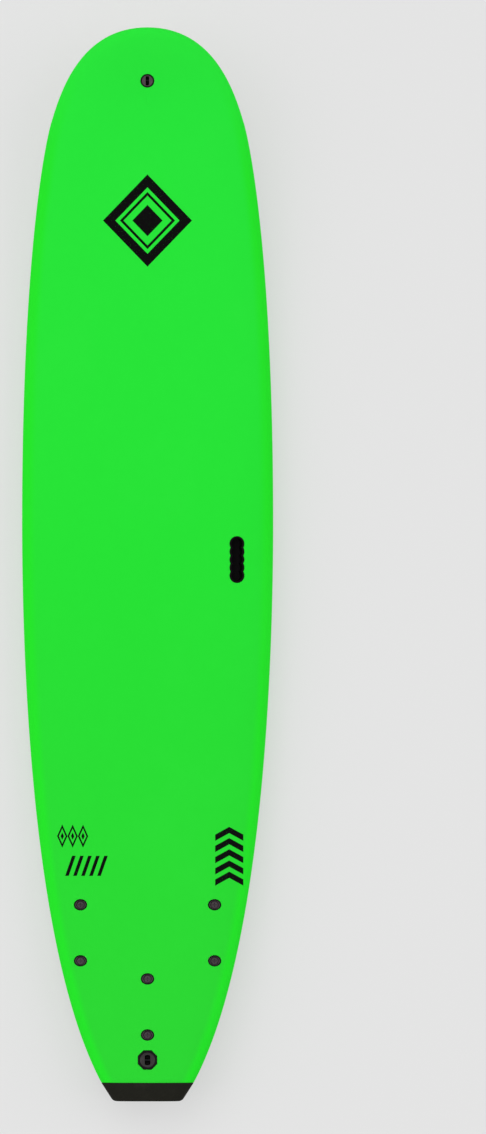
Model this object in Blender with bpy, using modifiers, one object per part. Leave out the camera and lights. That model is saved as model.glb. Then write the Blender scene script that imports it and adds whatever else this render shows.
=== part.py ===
"""Soft-top surfboard, seven feet long.

A foam core with two plywood stringers is wrapped by a foam deck skin that turns round the rails and by
a laminated bottom of foam, printed film and clear slick skin. A rubber bumper closes the square tail.
Six fin plugs and the leash plug go right through the board; the nose plug and the finger grip are let
into the deck.

The board lies on its flat bottom: +Y points to the nose, +X to the right seen from above and +Z up.
The origin is on the plane that the board rests on, under the middle of its length and width.
A distance called back is measured along the board from the nose tip, in metres like every size here.
"""

import math

import bmesh
import bpy
import numpy as np
from mathutils import Vector
from mathutils.bvhtree import BVHTree

# Overall size and fit
LENGTH = 2.134
WIDTH = 0.500
GAP = 0.0003
PLUG_CLEARANCE = 0.0003

# Outline seen from above: three smooth runs, tip to shoulder to widest point to bumper
NOSE_HANDLE = 0.135
SHOULDER_BACK = 0.1905
SHOULDER_HALF_WIDTH = 0.192
SHOULDER_FLARE = 0.30
SHOULDER_HANDLE_NOSE = 0.060
SHOULDER_HANDLE_TAIL = 0.029
WIDE_BACK = 0.983
WIDE_HANDLE_NOSE = 0.550
WIDE_HANDLE_TAIL = 0.266
TAIL_FLARE = 0.533
TAIL_HANDLE = 0.264
OUTLINE_STEPS = (6, 5, 8)

# Section lines fan out round the nose, so that the rail keeps its shape there
NOSE_RADIUS = 0.155
FAN_END_BACK = 0.400

# Side view: flat middle, lifted nose and tail, thickness of the finished board
FLAT_START_BACK = 0.850
FLAT_LENGTH = 0.400
NOSE_ROCKER = 0.115
NOSE_ROCKER_POWER = 2.3
TAIL_ROCKER = 0.050
TAIL_ROCKER_POWER = 2.0
THICKEST_BACK = 1.000
MIDDLE_THICKNESS = 0.080
NOSE_THICKNESS = 0.038
NOSE_TAPER_POWER = 2.2
TAIL_THICKNESS = 0.046
TAIL_TAPER_POWER = 2.0

# Cross section: flat bottom, tucked lower rail, domed deck
RAIL_APEX_SHARE = 0.42
RAIL_TUCK = 0.033
DECK_FULLNESS = 3.0
DECK_STEPS = 7
DECK_STEP_BIAS = 1.5

# Layers, from the outside in
DECK_FOAM = 0.0050
SLICK = 0.0012
PRINT = 0.0004
BOTTOM_FOAM = 0.0028
SEAM_IN = 0.011
PRINT_IN = 0.017

# Plywood stringers
STRINGER_OFFSET = 0.060
STRINGER_THICKNESS = 0.005

# Tail bumper
BUMPER_LENGTH = 0.0366
BUMPER_FRONT_WIDTH = 0.1838
BUMPER_END_WIDTH = 0.1368
BUMPER_CORNER = 0.0125
BUMPER_EDGE = 0.004
BUMPER_CORNER_STEPS = 5

# Fin plugs: a bottom sleeve for the fin's post, a deck cup and the screw that holds the fin
FIN_POST_SPACING = 0.1114
SIDE_FIN_OFFSET = 0.1333
SIDE_FIN_FRONT_FROM_TAIL = 0.3906
CENTRE_FIN_FRONT_FROM_TAIL = 0.2434
OVAL_SHARE = 0.846
SLEEVE_FLANGE_RADIUS = 0.0120
SLEEVE_FLANGE = 0.0022
SLEEVE_RADIUS = 0.0080
POST_BORE_RADIUS = 0.0060
CUP_FLANGE_RADIUS = 0.0130
CUP_FLANGE = 0.0018
CUP_RADIUS = 0.0102
CUP_DEPTH = 0.0065
CUP_FLOOR = 0.0030
SCREW_HEAD_RADIUS = 0.0080
SCREW_HEAD = 0.0042
SCREW_HEAD_DOME = 0.0008
SCREW_RADIUS = 0.0030
SCREW_LENGTH = 0.0200
FIN_PLUG_SIDES = 14

# Leash plug: octagonal deck cup with a steel pin, screwed into a base disc on the bottom
LEASH_FROM_TAIL = 0.0824
LEASH_FLATS = 0.038
LEASH_FLANGE = 0.0030
LEASH_FLANGE_EDGE = 0.0006
LEASH_BODY_RADIUS = 0.0150
LEASH_BODY_DEPTH = 0.0200
LEASH_DISH_RADIUS = 0.0160
LEASH_DISH_FLOOR_RADIUS = 0.0125
LEASH_DISH_DEPTH = 0.0020
LEASH_SLOT_WIDTH = 0.0110
LEASH_SLOT_LENGTH = 0.0200
LEASH_SLOT_DEPTH = 0.0160
LEASH_PIN_RADIUS = 0.0020
LEASH_PIN_LENGTH = 0.0180
LEASH_PIN_DEPTH = 0.0062
LEASH_STEM_RADIUS = 0.0060
LEASH_STEM_LENGTH = 0.0120
LEASH_BASE_RADIUS = 0.0290
LEASH_BASE = 0.0026
LEASH_TUBE_WALL = 0.0030
LEASH_SIDES = 20

# Nose plug: a round cup with a steel pin
NOSE_PLUG_BACK = 0.1064
NOSE_PLUG_FLANGE_RADIUS = 0.0135
NOSE_PLUG_FLANGE = 0.0020
NOSE_PLUG_BODY_RADIUS = 0.0115
NOSE_PLUG_BODY_DEPTH = 0.0180
NOSE_PLUG_SLOT_WIDTH = 0.0070
NOSE_PLUG_SLOT_LENGTH = 0.0190
NOSE_PLUG_SLOT_DEPTH = 0.0140
NOSE_PLUG_PIN_RADIUS = 0.0015
NOSE_PLUG_PIN_LENGTH = 0.0150
NOSE_PLUG_PIN_DEPTH = 0.0050
NOSE_PLUG_SIDES = 20

# Finger grip: a moulded pocket of five lobes, one behind the other
GRIP_BACK = 1.057
GRIP_FROM_RAIL = 0.072
GRIP_LOBES = 5
GRIP_LOBE_SPACING = 0.0158
GRIP_LOBE_RADIUS = 0.0147
GRIP_LIP = 0.0018
GRIP_FLANGE = 0.0018
GRIP_WALL = 0.0018
GRIP_DEPTH = 0.0300
GRIP_FLOOR = 0.0025
GRIP_ARC_STEPS = 3

# Distances that only keep the modelling clean
OVERSHOOT = 0.020
MERGE = 0.00001
SEAT_MARK = 0.030
SMOOTH_ANGLE = math.radians(32)

BUMPER_FRONT_BACK = LENGTH - BUMPER_LENGTH
BOTTOM_LAYERS = SLICK + GAP + PRINT + GAP
CORE_DEPTH = DECK_FOAM + GAP

# Points of a half section, from the bottom's centre round the rail; the deck's own points follow the edge
LOWER_POINTS = ("centre", "tuck", "print", "slick", "seam", "curl", "lip", "edge")
COLUMN = {name: place for place, name in enumerate(LOWER_POINTS)}

MATERIALS = {
    "deck_foam_green": ((0.022, 0.775, 0.043), 0.62, 0.0),
    "core_foam_white": ((0.86, 0.86, 0.82), 0.80, 0.0),
    "plywood": ((0.52, 0.34, 0.17), 0.60, 0.0),
    "bottom_foam_white": ((0.82, 0.83, 0.80), 0.70, 0.0),
    "print_mint": ((0.46, 0.68, 0.52), 0.45, 0.0),
    "slick_clear": ((0.80, 0.85, 0.78), 0.12, 0.0),
    "bumper_black": ((0.018, 0.018, 0.015), 0.70, 0.0),
    "plug_black": ((0.022, 0.020, 0.022), 0.45, 0.0),
    "screw_grey": ((0.055, 0.042, 0.050), 0.50, 0.0),
    "grip_black": ((0.010, 0.008, 0.010), 0.55, 0.0),
    "pin_steel": ((0.55, 0.55, 0.56), 0.28, 1.0),
}


# Curves that shape the board


def bezier(points, share):
    """Point at a share of the way along a cubic run of four (half width, back) points."""
    rest = 1 - share
    weights = (rest**3, 3 * rest**2 * share, 3 * rest * share**2, share**3)
    return tuple(sum(w * p[i] for w, p in zip(weights, points)) for i in range(2))


def outline_stations():
    """(half width, back) of each station, from the nose tip to the bumper's front face."""
    shoulder = (SHOULDER_HALF_WIDTH, SHOULDER_BACK)
    before_shoulder = (
        shoulder[0] - SHOULDER_FLARE * SHOULDER_HANDLE_NOSE,
        shoulder[1] - SHOULDER_HANDLE_NOSE,
    )
    after_shoulder = (
        shoulder[0] + SHOULDER_FLARE * SHOULDER_HANDLE_TAIL,
        shoulder[1] + SHOULDER_HANDLE_TAIL,
    )
    half = WIDTH / 2
    wide = (half, WIDE_BACK)
    before_wide = (half, WIDE_BACK - WIDE_HANDLE_NOSE)
    after_wide = (half, WIDE_BACK + WIDE_HANDLE_TAIL)
    tail = (BUMPER_FRONT_WIDTH / 2, BUMPER_FRONT_BACK)
    before_tail = (tail[0] + TAIL_FLARE * TAIL_HANDLE, tail[1] - TAIL_HANDLE)
    runs = (
        ((0, 0), (NOSE_HANDLE, 0), before_shoulder, shoulder),
        (shoulder, after_shoulder, before_wide, wide),
        (wide, after_wide, before_tail, tail),
    )
    stations = [(0.0, 0.0)]
    for run, steps in zip(runs, OUTLINE_STEPS):
        stations += [bezier(run, step / steps) for step in range(1, steps + 1)]
    return stations


def rocker(back):
    """Height of the bottom's centreline above the plane that the board rests on."""
    flat_end_back = FLAT_START_BACK + FLAT_LENGTH
    if back < FLAT_START_BACK:
        return NOSE_ROCKER * ((FLAT_START_BACK - back) / FLAT_START_BACK) ** NOSE_ROCKER_POWER
    if back > flat_end_back:
        return TAIL_ROCKER * ((back - flat_end_back) / (LENGTH - flat_end_back)) ** TAIL_ROCKER_POWER
    return 0.0


def thickness(back):
    """Thickness of the board at its centreline."""
    if back < THICKEST_BACK:
        share = (THICKEST_BACK - back) / THICKEST_BACK
        return MIDDLE_THICKNESS - (MIDDLE_THICKNESS - NOSE_THICKNESS) * share**NOSE_TAPER_POWER
    share = (back - THICKEST_BACK) / (LENGTH - THICKEST_BACK)
    return MIDDLE_THICKNESS - (MIDDLE_THICKNESS - TAIL_THICKNESS) * share**TAIL_TAPER_POWER


def apex_height(back):
    """Height of the rail's widest point above the bottom."""
    return RAIL_APEX_SHARE * thickness(back)


def fan_centre(back):
    """Where the section line that starts at the edge this far back meets the centreline."""
    if back >= FAN_END_BACK:
        return back
    return back + NOSE_RADIUS * (1 - back / FAN_END_BACK) ** 2


def dome(share):
    """Rise of the deck from the rail's apex (0) to the centreline (1)."""
    return (1 - (1 - share) ** DECK_FULLNESS) ** (1 / DECK_FULLNESS)


def tuck_rise(from_edge, back):
    """Rise of the bottom this far in from the edge, where the lower rail curls up to the apex."""
    share = max(0.0, 1 - from_edge / RAIL_TUCK)
    return apex_height(back) * (1 - math.sqrt(1 - share**2))


# The outer surface as a grid, and copies of it set in for the layers


def half_section(half_width, back):
    """Points (x, y, z) of one station's right half, from the bottom's centre to the deck's centre."""
    middle = fan_centre(back)
    run = math.hypot(half_width, middle - back)
    lower = (
        run,
        RAIL_TUCK,
        PRINT_IN,
        SEAM_IN + GAP,
        SEAM_IN,
        SEAM_IN / 2,
        SEAM_IN / 7,
        0.0,
    )

    def place(from_edge, rise):
        share = from_edge / run
        here = back + (middle - back) * share
        return (half_width * (1 - share), LENGTH / 2 - here, rocker(here) + rise)

    points = [place(from_edge, tuck_rise(from_edge, back)) for from_edge in lower]
    for step in range(1, DECK_STEPS + 1):
        turn = math.pi / 2 * (step / DECK_STEPS) ** DECK_STEP_BIAS
        share = 1 - math.cos(turn) ** (2 / DECK_FULLNESS)
        rise = apex_height(back) + (thickness(middle) - apex_height(back)) * dome(share)
        points.append(place(share * run, rise))
    points[0] = (0.0, *points[0][1:])
    points[-1] = (0.0, *points[-1][1:])
    return points


def unit(vectors):
    return vectors / np.maximum(np.linalg.norm(vectors, axis=-1, keepdims=True), 1e-12)


def surface_normals(grid):
    """Outward normals of the grid's points, with the left half as the mirror image of the right."""
    flip = np.array([-1.0, 1.0, 1.0])
    rows = np.concatenate([grid[1:2] * flip, grid, 2 * grid[-1:] - grid[-2:-1]])
    along = unit(rows[2:] - rows[1:-1]) + unit(rows[1:-1] - rows[:-2])
    columns = np.concatenate([grid[:, 1:2] * flip, grid, grid[:, -2:-1] * flip], axis=1)
    around = unit(columns[:, 2:] - columns[:, 1:-1]) + unit(columns[:, 1:-1] - columns[:, :-2])
    return unit(np.cross(around, along))


def inset_grid(depth):
    """The outer surface moved in by a depth. Its last row stays in one plane, behind the bumper's face."""
    grid = np.array([half_section(*station) for station in outline_stations()])
    # The two columns either side of the seam are so close that they share their normals.
    normals = surface_normals(np.delete(grid, COLUMN["slick"], axis=1))
    normals = np.insert(normals, COLUMN["slick"], normals[:, COLUMN["slick"]], axis=1)
    in_plane = normals[-1] * np.array([1.0, 0.0, 1.0])
    in_plane /= (in_plane**2).sum(axis=1, keepdims=True)
    moved = grid - depth * normals
    moved[-1] = grid[-1] - depth * in_plane
    moved[-1, :, 1] += GAP
    moved[0, :, 0] = 0.0
    moved[:, 0, 0] = 0.0
    moved[:, -1, 0] = 0.0
    return moved


def grid_faces(rows, columns, first=0):
    """Quads between the points of a grid that is stored row by row from an index."""
    return [
        (
            first + row * columns + column,
            first + row * columns + column + 1,
            first + (row + 1) * columns + column + 1,
            first + (row + 1) * columns + column,
        )
        for row in range(rows - 1)
        for column in range(columns - 1)
    ]


def shell_mesh(name, first_column, last_column, outer_depth, inner_depth):
    """Right half of a skin between two depths, open where the left half joins it."""
    outer = inset_grid(outer_depth)[:, first_column : last_column + 1]
    inner = inset_grid(inner_depth)[:, first_column : last_column + 1]
    rows, columns = outer.shape[:2]
    points = np.concatenate([outer.reshape(-1, 3), inner.reshape(-1, 3)])
    under = rows * columns
    faces = grid_faces(rows, columns)
    faces += [tuple(reversed(face)) for face in grid_faces(rows, columns, under)]
    for row in range(rows - 1):
        here, after = row * columns, (row + 1) * columns
        if first_column > 0:
            faces.append((here, after, under + after, under + here))
        else:
            here, after = here + columns - 1, after + columns - 1
            faces.append((after, here, under + here, under + after))
    last = (rows - 1) * columns
    for column in range(columns - 1):
        here = last + column
        faces.append((here, here + 1, under + here + 1, under + here))
    return mesh_of(name, points, faces)


def block_mesh(name, depth):
    """Right half of the solid inside a depth, closed at the tail and open where the left half joins it."""
    grid = np.delete(inset_grid(depth), COLUMN["slick"], axis=1)
    rows, columns = grid.shape[:2]
    faces = grid_faces(rows, columns)
    faces.append(tuple(range((rows - 1) * columns, rows * columns)))
    return mesh_of(name, grid.reshape(-1, 3), faces)


# Meshes, objects and cutters


def mesh_of(name, points, faces):
    mesh = bpy.data.meshes.new(name)
    mesh.from_pydata([tuple(map(float, point)) for point in points], [], faces)
    return mesh


def smooth(mesh):
    """Shades a mesh smooth and leaves its corners sharp."""
    mesh.shade_smooth()
    mesh.set_sharp_from_angle(angle=SMOOTH_ANGLE)


def material(name):
    """The named finish, made the first time that it is asked for."""
    if name in bpy.data.materials:
        return bpy.data.materials[name]
    colour, roughness, metallic = MATERIALS[name]
    made = bpy.data.materials.new(name)
    made.use_nodes = True
    shader = made.node_tree.nodes["Principled BSDF"]
    shader.inputs["Base Color"].default_value = (*colour, 1.0)
    shader.inputs["Roughness"].default_value = roughness
    shader.inputs["Metallic"].default_value = metallic
    made.diffuse_color = (*colour, 1.0)
    return made


def new_collection(name):
    made = bpy.data.collections.new(name)
    bpy.context.scene.collection.children.link(made)
    return made


def add_part(name, mesh, finish, seat=None, height=0.0):
    """A piece of the board, placed on its seat's axis at a height."""
    if not mesh.materials:
        mesh.materials.append(material(finish))
    smooth(mesh)
    obj = bpy.data.objects.new(name, mesh)
    bpy.data.collections["soft_top_surfboard"].objects.link(obj)
    obj.parent = seat
    obj.location = (0, 0, height)
    return obj


def add_cutter(name, mesh, seat=None, height=0.0):
    """A shape that only cuts others, kept out of the render."""
    obj = bpy.data.objects.new(name, mesh)
    bpy.data.collections["cutters"].objects.link(obj)
    obj.parent = seat
    obj.location = (0, 0, height)
    obj.hide_render = True
    obj.display_type = "WIRE"
    return obj


def add_seat(name, origin, axis):
    """An empty whose +Z is the axis of a plug or pocket. Its +X stays level across the board."""
    seat = bpy.data.objects.new(name, None)
    bpy.context.scene.collection.objects.link(seat)
    seat.empty_display_size = SEAT_MARK
    seat.location = origin
    seat.rotation_euler = (-math.atan2(axis.y, axis.z), math.asin(max(-1.0, min(1.0, axis.x))), 0)
    seat.rotation_mode = "YXZ"
    bpy.context.view_layer.update()
    return seat


def boolean(obj, operation, other):
    modifier = obj.modifiers.new(f"{operation.lower()}_{other.name}", "BOOLEAN")
    modifier.operation = operation
    modifier.object = other


def mirror(obj):
    """Adds the left half, in flat triangles that a Boolean can cut cleanly."""
    half = obj.modifiers.new("left_half", "MIRROR")
    half.use_axis = (True, False, False)
    half.merge_threshold = MERGE
    facets = obj.modifiers.new("flat_facets", "TRIANGULATE")
    facets.quad_method = "SHORTEST_DIAGONAL"


def box_mesh(name, low, high):
    """A box between two corners."""
    shape = bmesh.new()
    bmesh.ops.create_cube(shape, size=1)
    low, high = Vector(low), Vector(high)
    bmesh.ops.scale(shape, vec=high - low, verts=shape.verts)
    bmesh.ops.translate(shape, vec=(low + high) / 2, verts=shape.verts)
    mesh = bpy.data.meshes.new(name)
    shape.to_mesh(mesh)
    shape.free()
    return mesh


def turned_mesh(name, profile, sides):
    """A profile of (radius, height) points turned about Z. Its outer side runs from top to bottom."""
    points = [(radius, 0, height) for radius, height in profile]
    edges = [(i, i + 1) for i in range(len(points) - 1)]
    if min(radius for radius, _ in profile) > 0:
        edges.append((len(points) - 1, 0))
    guide_mesh = bpy.data.meshes.new(name)
    guide_mesh.from_pydata(points, edges, [])
    guide = bpy.data.objects.new(name, guide_mesh)
    bpy.context.scene.collection.objects.link(guide)
    screw = guide.modifiers.new("turn", "SCREW")
    screw.steps = screw.render_steps = sides
    screw.use_merge_vertices = True
    screw.merge_threshold = MERGE
    mesh = evaluated_mesh(guide)
    bpy.data.objects.remove(guide)
    mesh.name = name
    return mesh


def evaluated_mesh(obj):
    """A copy of the object's mesh with its modifiers worked in."""
    graph = bpy.context.evaluated_depsgraph_get()
    return bpy.data.meshes.new_from_object(obj.evaluated_get(graph))


def cylinder_mesh(name, radius, low, high, sides):
    return turned_mesh(name, [(0, high), (radius, high), (radius, low), (0, low)], sides)


def oval_flanges(mesh, body_radius):
    """Draws in what stands out from the round body to ovals that lie across the board."""
    for vertex in mesh.vertices:
        if math.hypot(vertex.co.x, vertex.co.y) > body_radius + MERGE:
            vertex.co.y *= OVAL_SHARE
    return mesh


# Where plugs meet the board


def facets_of(name):
    """A skin as it is before anything is cut in it, to find where plugs meet it."""
    return BVHTree.FromObject(bpy.data.objects[name], bpy.context.evaluated_depsgraph_get())


def deck_point(deck, x, y):
    return deck.ray_cast(Vector((x, y, LENGTH)), Vector((0, 0, -1)))[0]


def bottom_point(bottom, x, y):
    return bottom.ray_cast(Vector((x, y, -LENGTH)), Vector((0, 0, 1)))[0]


def rim_heights(facets, side, seat, half_across, half_along):
    """Heights on a seat at which a flange's rim meets the deck (side 1) or the bottom (side -1)."""
    frame = seat.matrix_world
    back_to_seat = frame.inverted()
    heights = []
    for step in range(8):
        turn = math.pi / 4 * step
        rim = Vector((half_across * math.cos(turn), half_along * math.sin(turn), side * LENGTH))
        met = facets.ray_cast(frame @ rim, -side * frame.col[2].xyz)[0]
        heights.append((back_to_seat @ met).z)
    return heights


def through_seat(name, deck, bottom, x, back, half_across, half_along):
    """Seat of a plug that comes out of the deck at this point, square to the bottom, with its flange there.

    The flange's rim lies nowhere proud of the bottom.
    """
    y = LENGTH / 2 - back
    ahead, behind = bottom_point(bottom, x, y + half_along), bottom_point(bottom, x, y - half_along)
    axis = Vector((0, behind.z - ahead.z, ahead.y - behind.y)).normalized()
    foot = bottom.ray_cast(deck_point(deck, x, y) - LENGTH * axis, axis)[0]
    seat = add_seat(name, foot, axis)
    seat.location += axis * max(rim_heights(bottom, -1, seat, half_across, half_along))
    bpy.context.view_layer.update()
    return seat


def deck_seat(name, deck, x, back, half_across, half_along):
    """Seat on the deck, square to it under a flange whose rim lies nowhere proud of it."""
    y = LENGTH / 2 - back
    along = deck_point(deck, x, y + half_along) - deck_point(deck, x, y - half_along)
    across = deck_point(deck, x + half_across, y) - deck_point(deck, x - half_across, y)
    axis = across.cross(along).normalized()
    seat = add_seat(name, deck_point(deck, x, y), axis)
    seat.location += axis * min(rim_heights(deck, 1, seat, half_across, half_along))
    bpy.context.view_layer.update()
    return seat


# The board's body


def build_body():
    """Skins, core and stringers, before the plugs are cut in."""
    slick_edge, film_edge = COLUMN["slick"], COLUMN["print"]
    foam_outside, foam_inside = BOTTOM_LAYERS, BOTTOM_LAYERS + BOTTOM_FOAM
    deck = shell_mesh("deck_skin", COLUMN["seam"], COLUMN["edge"] + DECK_STEPS, 0, DECK_FOAM)
    mirror(add_part("deck_skin", deck, "deck_foam_green"))
    slick = shell_mesh("slick_skin", 0, slick_edge, 0, SLICK)
    mirror(add_part("slick_skin", slick, "slick_clear"))
    film = shell_mesh("bottom_print", 0, film_edge, SLICK + GAP, SLICK + GAP + PRINT)
    mirror(add_part("bottom_print", film, "print_mint"))
    foam = shell_mesh("bottom_foam", 0, slick_edge, foam_outside, foam_inside)
    mirror(add_part("bottom_foam", foam, "bottom_foam_white"))

    inner = STRINGER_OFFSET - STRINGER_THICKNESS / 2
    outer = STRINGER_OFFSET + STRINGER_THICKNESS / 2
    reach = WIDTH / 2 + OVERSHOOT
    slabs = {
        "core_left": ("core_foam_white", -reach, -outer - GAP),
        "stringer_left": ("plywood", -outer, -inner),
        "core_centre": ("core_foam_white", -inner + GAP, inner - GAP),
        "stringer_right": ("plywood", inner, outer),
        "core_right": ("core_foam_white", outer + GAP, reach),
    }
    end = LENGTH / 2 + OVERSHOOT
    top = NOSE_ROCKER + MIDDLE_THICKNESS + OVERSHOOT
    for name, (finish, low, high) in slabs.items():
        piece = add_part(name, block_mesh(name, CORE_DEPTH), finish)
        mirror(piece)
        slab = box_mesh(name + "_slab", (low, -end, -OVERSHOOT), (high, end, top))
        boolean(piece, "INTERSECT", add_cutter(name + "_slab", slab))


def bumper_half_width(back):
    """Half width of the bumper: straight sides, then a round corner into the square end."""
    front, end = BUMPER_FRONT_WIDTH / 2, BUMPER_END_WIDTH / 2
    lean = math.atan2(front - end, BUMPER_LENGTH)
    turn = math.pi / 2 - lean
    corner_start = LENGTH - BUMPER_CORNER * math.tan(turn / 2) * math.cos(lean)
    straight = front - (back - BUMPER_FRONT_BACK) * math.tan(lean)
    if back <= corner_start:
        return straight
    centre_back = LENGTH - BUMPER_CORNER
    centre_half = end - BUMPER_CORNER * math.tan(turn / 2)
    return centre_half + math.sqrt(max(0.0, BUMPER_CORNER**2 - (back - centre_back) ** 2))


def build_bumper():
    """The rubber block that closes the square tail and follows the board's section."""
    backs = [BUMPER_FRONT_BACK, (BUMPER_FRONT_BACK + LENGTH - BUMPER_CORNER) / 2]
    for step in range(BUMPER_CORNER_STEPS + 1):
        turn = math.pi / 2 * step / BUMPER_CORNER_STEPS
        backs.append(LENGTH - BUMPER_CORNER * (1 - math.sin(turn)))
    rows = []
    for back in backs:
        near_end = max(0.0, BUMPER_EDGE - (LENGTH - back))
        pinch = BUMPER_EDGE - math.sqrt(BUMPER_EDGE**2 - near_end**2)
        section = np.array(half_section(bumper_half_width(back), back))
        middle = rocker(back) + thickness(back) / 2
        section[:, 2] = middle + (section[:, 2] - middle) * (1 - 2 * pinch / thickness(back))
        rows.append(section)
    grid = np.array(rows)
    count, columns = grid.shape[:2]
    faces = grid_faces(count, columns)
    faces.append(tuple(range((count - 1) * columns, count * columns)))
    faces.append(tuple(reversed(range(columns))))
    block = mesh_of("tail_bumper", grid.reshape(-1, 3), faces)
    mirror(add_part("tail_bumper", block, "bumper_black"))


# Fin plugs


def cup_mesh():
    """Deck cup of a fin plug: oval flange, seat for the screw's head and a hole in its floor."""
    bottom = -CUP_DEPTH - CUP_FLOOR
    mouth = SCREW_HEAD_RADIUS + PLUG_CLEARANCE
    hole = SCREW_RADIUS + PLUG_CLEARANCE
    profile = [
        (mouth, 0),
        (CUP_FLANGE_RADIUS, 0),
        (CUP_FLANGE_RADIUS, -CUP_FLANGE),
        (CUP_RADIUS, -CUP_FLANGE),
        (CUP_RADIUS, bottom),
        (hole, bottom),
        (hole, -CUP_DEPTH),
        (mouth, -CUP_DEPTH),
    ]
    return oval_flanges(turned_mesh("fin_cup", profile, FIN_PLUG_SIDES), CUP_RADIUS)


def screw_mesh():
    """Fin screw with a low domed head. Its origin is under the head."""
    edge = SCREW_HEAD - SCREW_HEAD_DOME
    profile = [
        (0, SCREW_HEAD),
        (SCREW_HEAD_RADIUS, edge),
        (SCREW_HEAD_RADIUS, 0),
        (SCREW_RADIUS, 0),
        (SCREW_RADIUS, -SCREW_LENGTH),
        (0, -SCREW_LENGTH),
    ]
    return turned_mesh("fin_screw", profile, FIN_PLUG_SIDES)


def sleeve_mesh(name, length):
    """Bottom sleeve of a fin plug: oval flange level with the bottom and a tube up to the deck cup."""
    profile = [
        (POST_BORE_RADIUS, length),
        (SLEEVE_RADIUS, length),
        (SLEEVE_RADIUS, SLEEVE_FLANGE),
        (SLEEVE_FLANGE_RADIUS, SLEEVE_FLANGE),
        (SLEEVE_FLANGE_RADIUS, 0),
        (POST_BORE_RADIUS, 0),
    ]
    return oval_flanges(turned_mesh(name, profile, FIN_PLUG_SIDES), SLEEVE_RADIUS)


def build_fin_plug(place, deck, bottom, x, back, cup, screw):
    """One sleeve, cup and screw. Returns the cutter that makes their room."""
    sleeve_rim = (SLEEVE_FLANGE_RADIUS, SLEEVE_FLANGE_RADIUS * OVAL_SHARE)
    seat = through_seat("fin_seat_" + place, deck, bottom, x, back, *sleeve_rim)
    cup_top = min(rim_heights(deck, 1, seat, CUP_FLANGE_RADIUS, CUP_FLANGE_RADIUS * OVAL_SHARE))
    shoulder = cup_top - CUP_DEPTH - CUP_FLOOR
    add_part("fin_cup_" + place, cup, "plug_black", seat, cup_top)
    add_part("fin_screw_" + place, screw, "screw_grey", seat, cup_top - CUP_DEPTH + GAP)
    name = "fin_sleeve_" + place
    add_part(name, sleeve_mesh(name, shoulder - GAP), "plug_black", seat)

    cup_room = CUP_RADIUS + PLUG_CLEARANCE
    cup_flange_room = CUP_FLANGE_RADIUS + PLUG_CLEARANCE
    sleeve_room = SLEEVE_RADIUS + PLUG_CLEARANCE
    sleeve_flange_room = SLEEVE_FLANGE_RADIUS + PLUG_CLEARANCE
    room_profile = [
        (0, cup_top + OVERSHOOT),
        (cup_flange_room, cup_top + OVERSHOOT),
        (cup_flange_room, cup_top - CUP_FLANGE - GAP),
        (cup_room, cup_top - CUP_FLANGE - GAP),
        (cup_room, shoulder - GAP),
        (sleeve_room, shoulder - GAP),
        (sleeve_room, SLEEVE_FLANGE + GAP),
        (sleeve_flange_room, SLEEVE_FLANGE + GAP),
        (sleeve_flange_room, -OVERSHOOT),
        (0, -OVERSHOOT),
    ]
    room = turned_mesh("fin_room_" + place, room_profile, FIN_PLUG_SIDES)
    return add_cutter("fin_room_" + place, oval_flanges(room, cup_room), seat)


def build_fin_plugs(deck, bottom):
    """Two plugs for each of the three fins. Returns the cutters by layer."""
    cup, screw = cup_mesh(), screw_mesh()
    fins = {
        "left": (-SIDE_FIN_OFFSET, SIDE_FIN_FRONT_FROM_TAIL, "core_left"),
        "right": (SIDE_FIN_OFFSET, SIDE_FIN_FRONT_FROM_TAIL, "core_right"),
        "centre": (0.0, CENTRE_FIN_FRONT_FROM_TAIL, "core_centre"),
    }
    made = []
    for fin, (x, front_from_tail, core) in fins.items():
        for end, ahead in (("front", 0.0), ("rear", FIN_POST_SPACING)):
            back = LENGTH - front_from_tail + ahead
            room = build_fin_plug(f"{fin}_{end}", deck, bottom, x, back, cup, screw)
            made.append({layer: [room] for layer in ("deck_skin", core, "bottom_foam", "film")})
    return made


# Leash plug and nose plug


def pin_mesh(name, radius, length, sides):
    """A plain round pin that lies across the board."""
    mesh = cylinder_mesh(name, radius, -length / 2, length / 2, sides)
    for vertex in mesh.vertices:
        vertex.co = Vector((vertex.co.z, vertex.co.y, -vertex.co.x))
    return mesh


def octagon_mesh(name, flats, low, high):
    """An eight-sided plate with its flats across and along the board."""
    mesh = cylinder_mesh(name, flats / 2 / math.cos(math.pi / 8), low, high, 8)
    for vertex in mesh.vertices:
        x, y = vertex.co.x, vertex.co.y
        turn = math.pi / 8
        vertex.co.x = x * math.cos(turn) - y * math.sin(turn)
        vertex.co.y = x * math.sin(turn) + y * math.cos(turn)
    return mesh


def slot_and_pin_cutters(prefix, seat, height, slot, pin):
    """Cutters for an upright slot and for the blind holes that hold a pin across it."""
    width, length, depth = slot
    radius, reach, pin_depth, sides = pin
    low = (-width / 2, -length / 2, -depth)
    high = (width / 2, length / 2, OVERSHOOT)
    opening = add_cutter(prefix + "_slot", box_mesh(prefix + "_slot", low, high), seat, height)
    hole_name = prefix + "_pin_hole"
    hole_mesh = pin_mesh(hole_name, radius + PLUG_CLEARANCE, reach + 2 * PLUG_CLEARANCE, sides)
    hole = add_cutter(hole_name, hole_mesh, seat, height - pin_depth)
    return opening, hole


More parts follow.
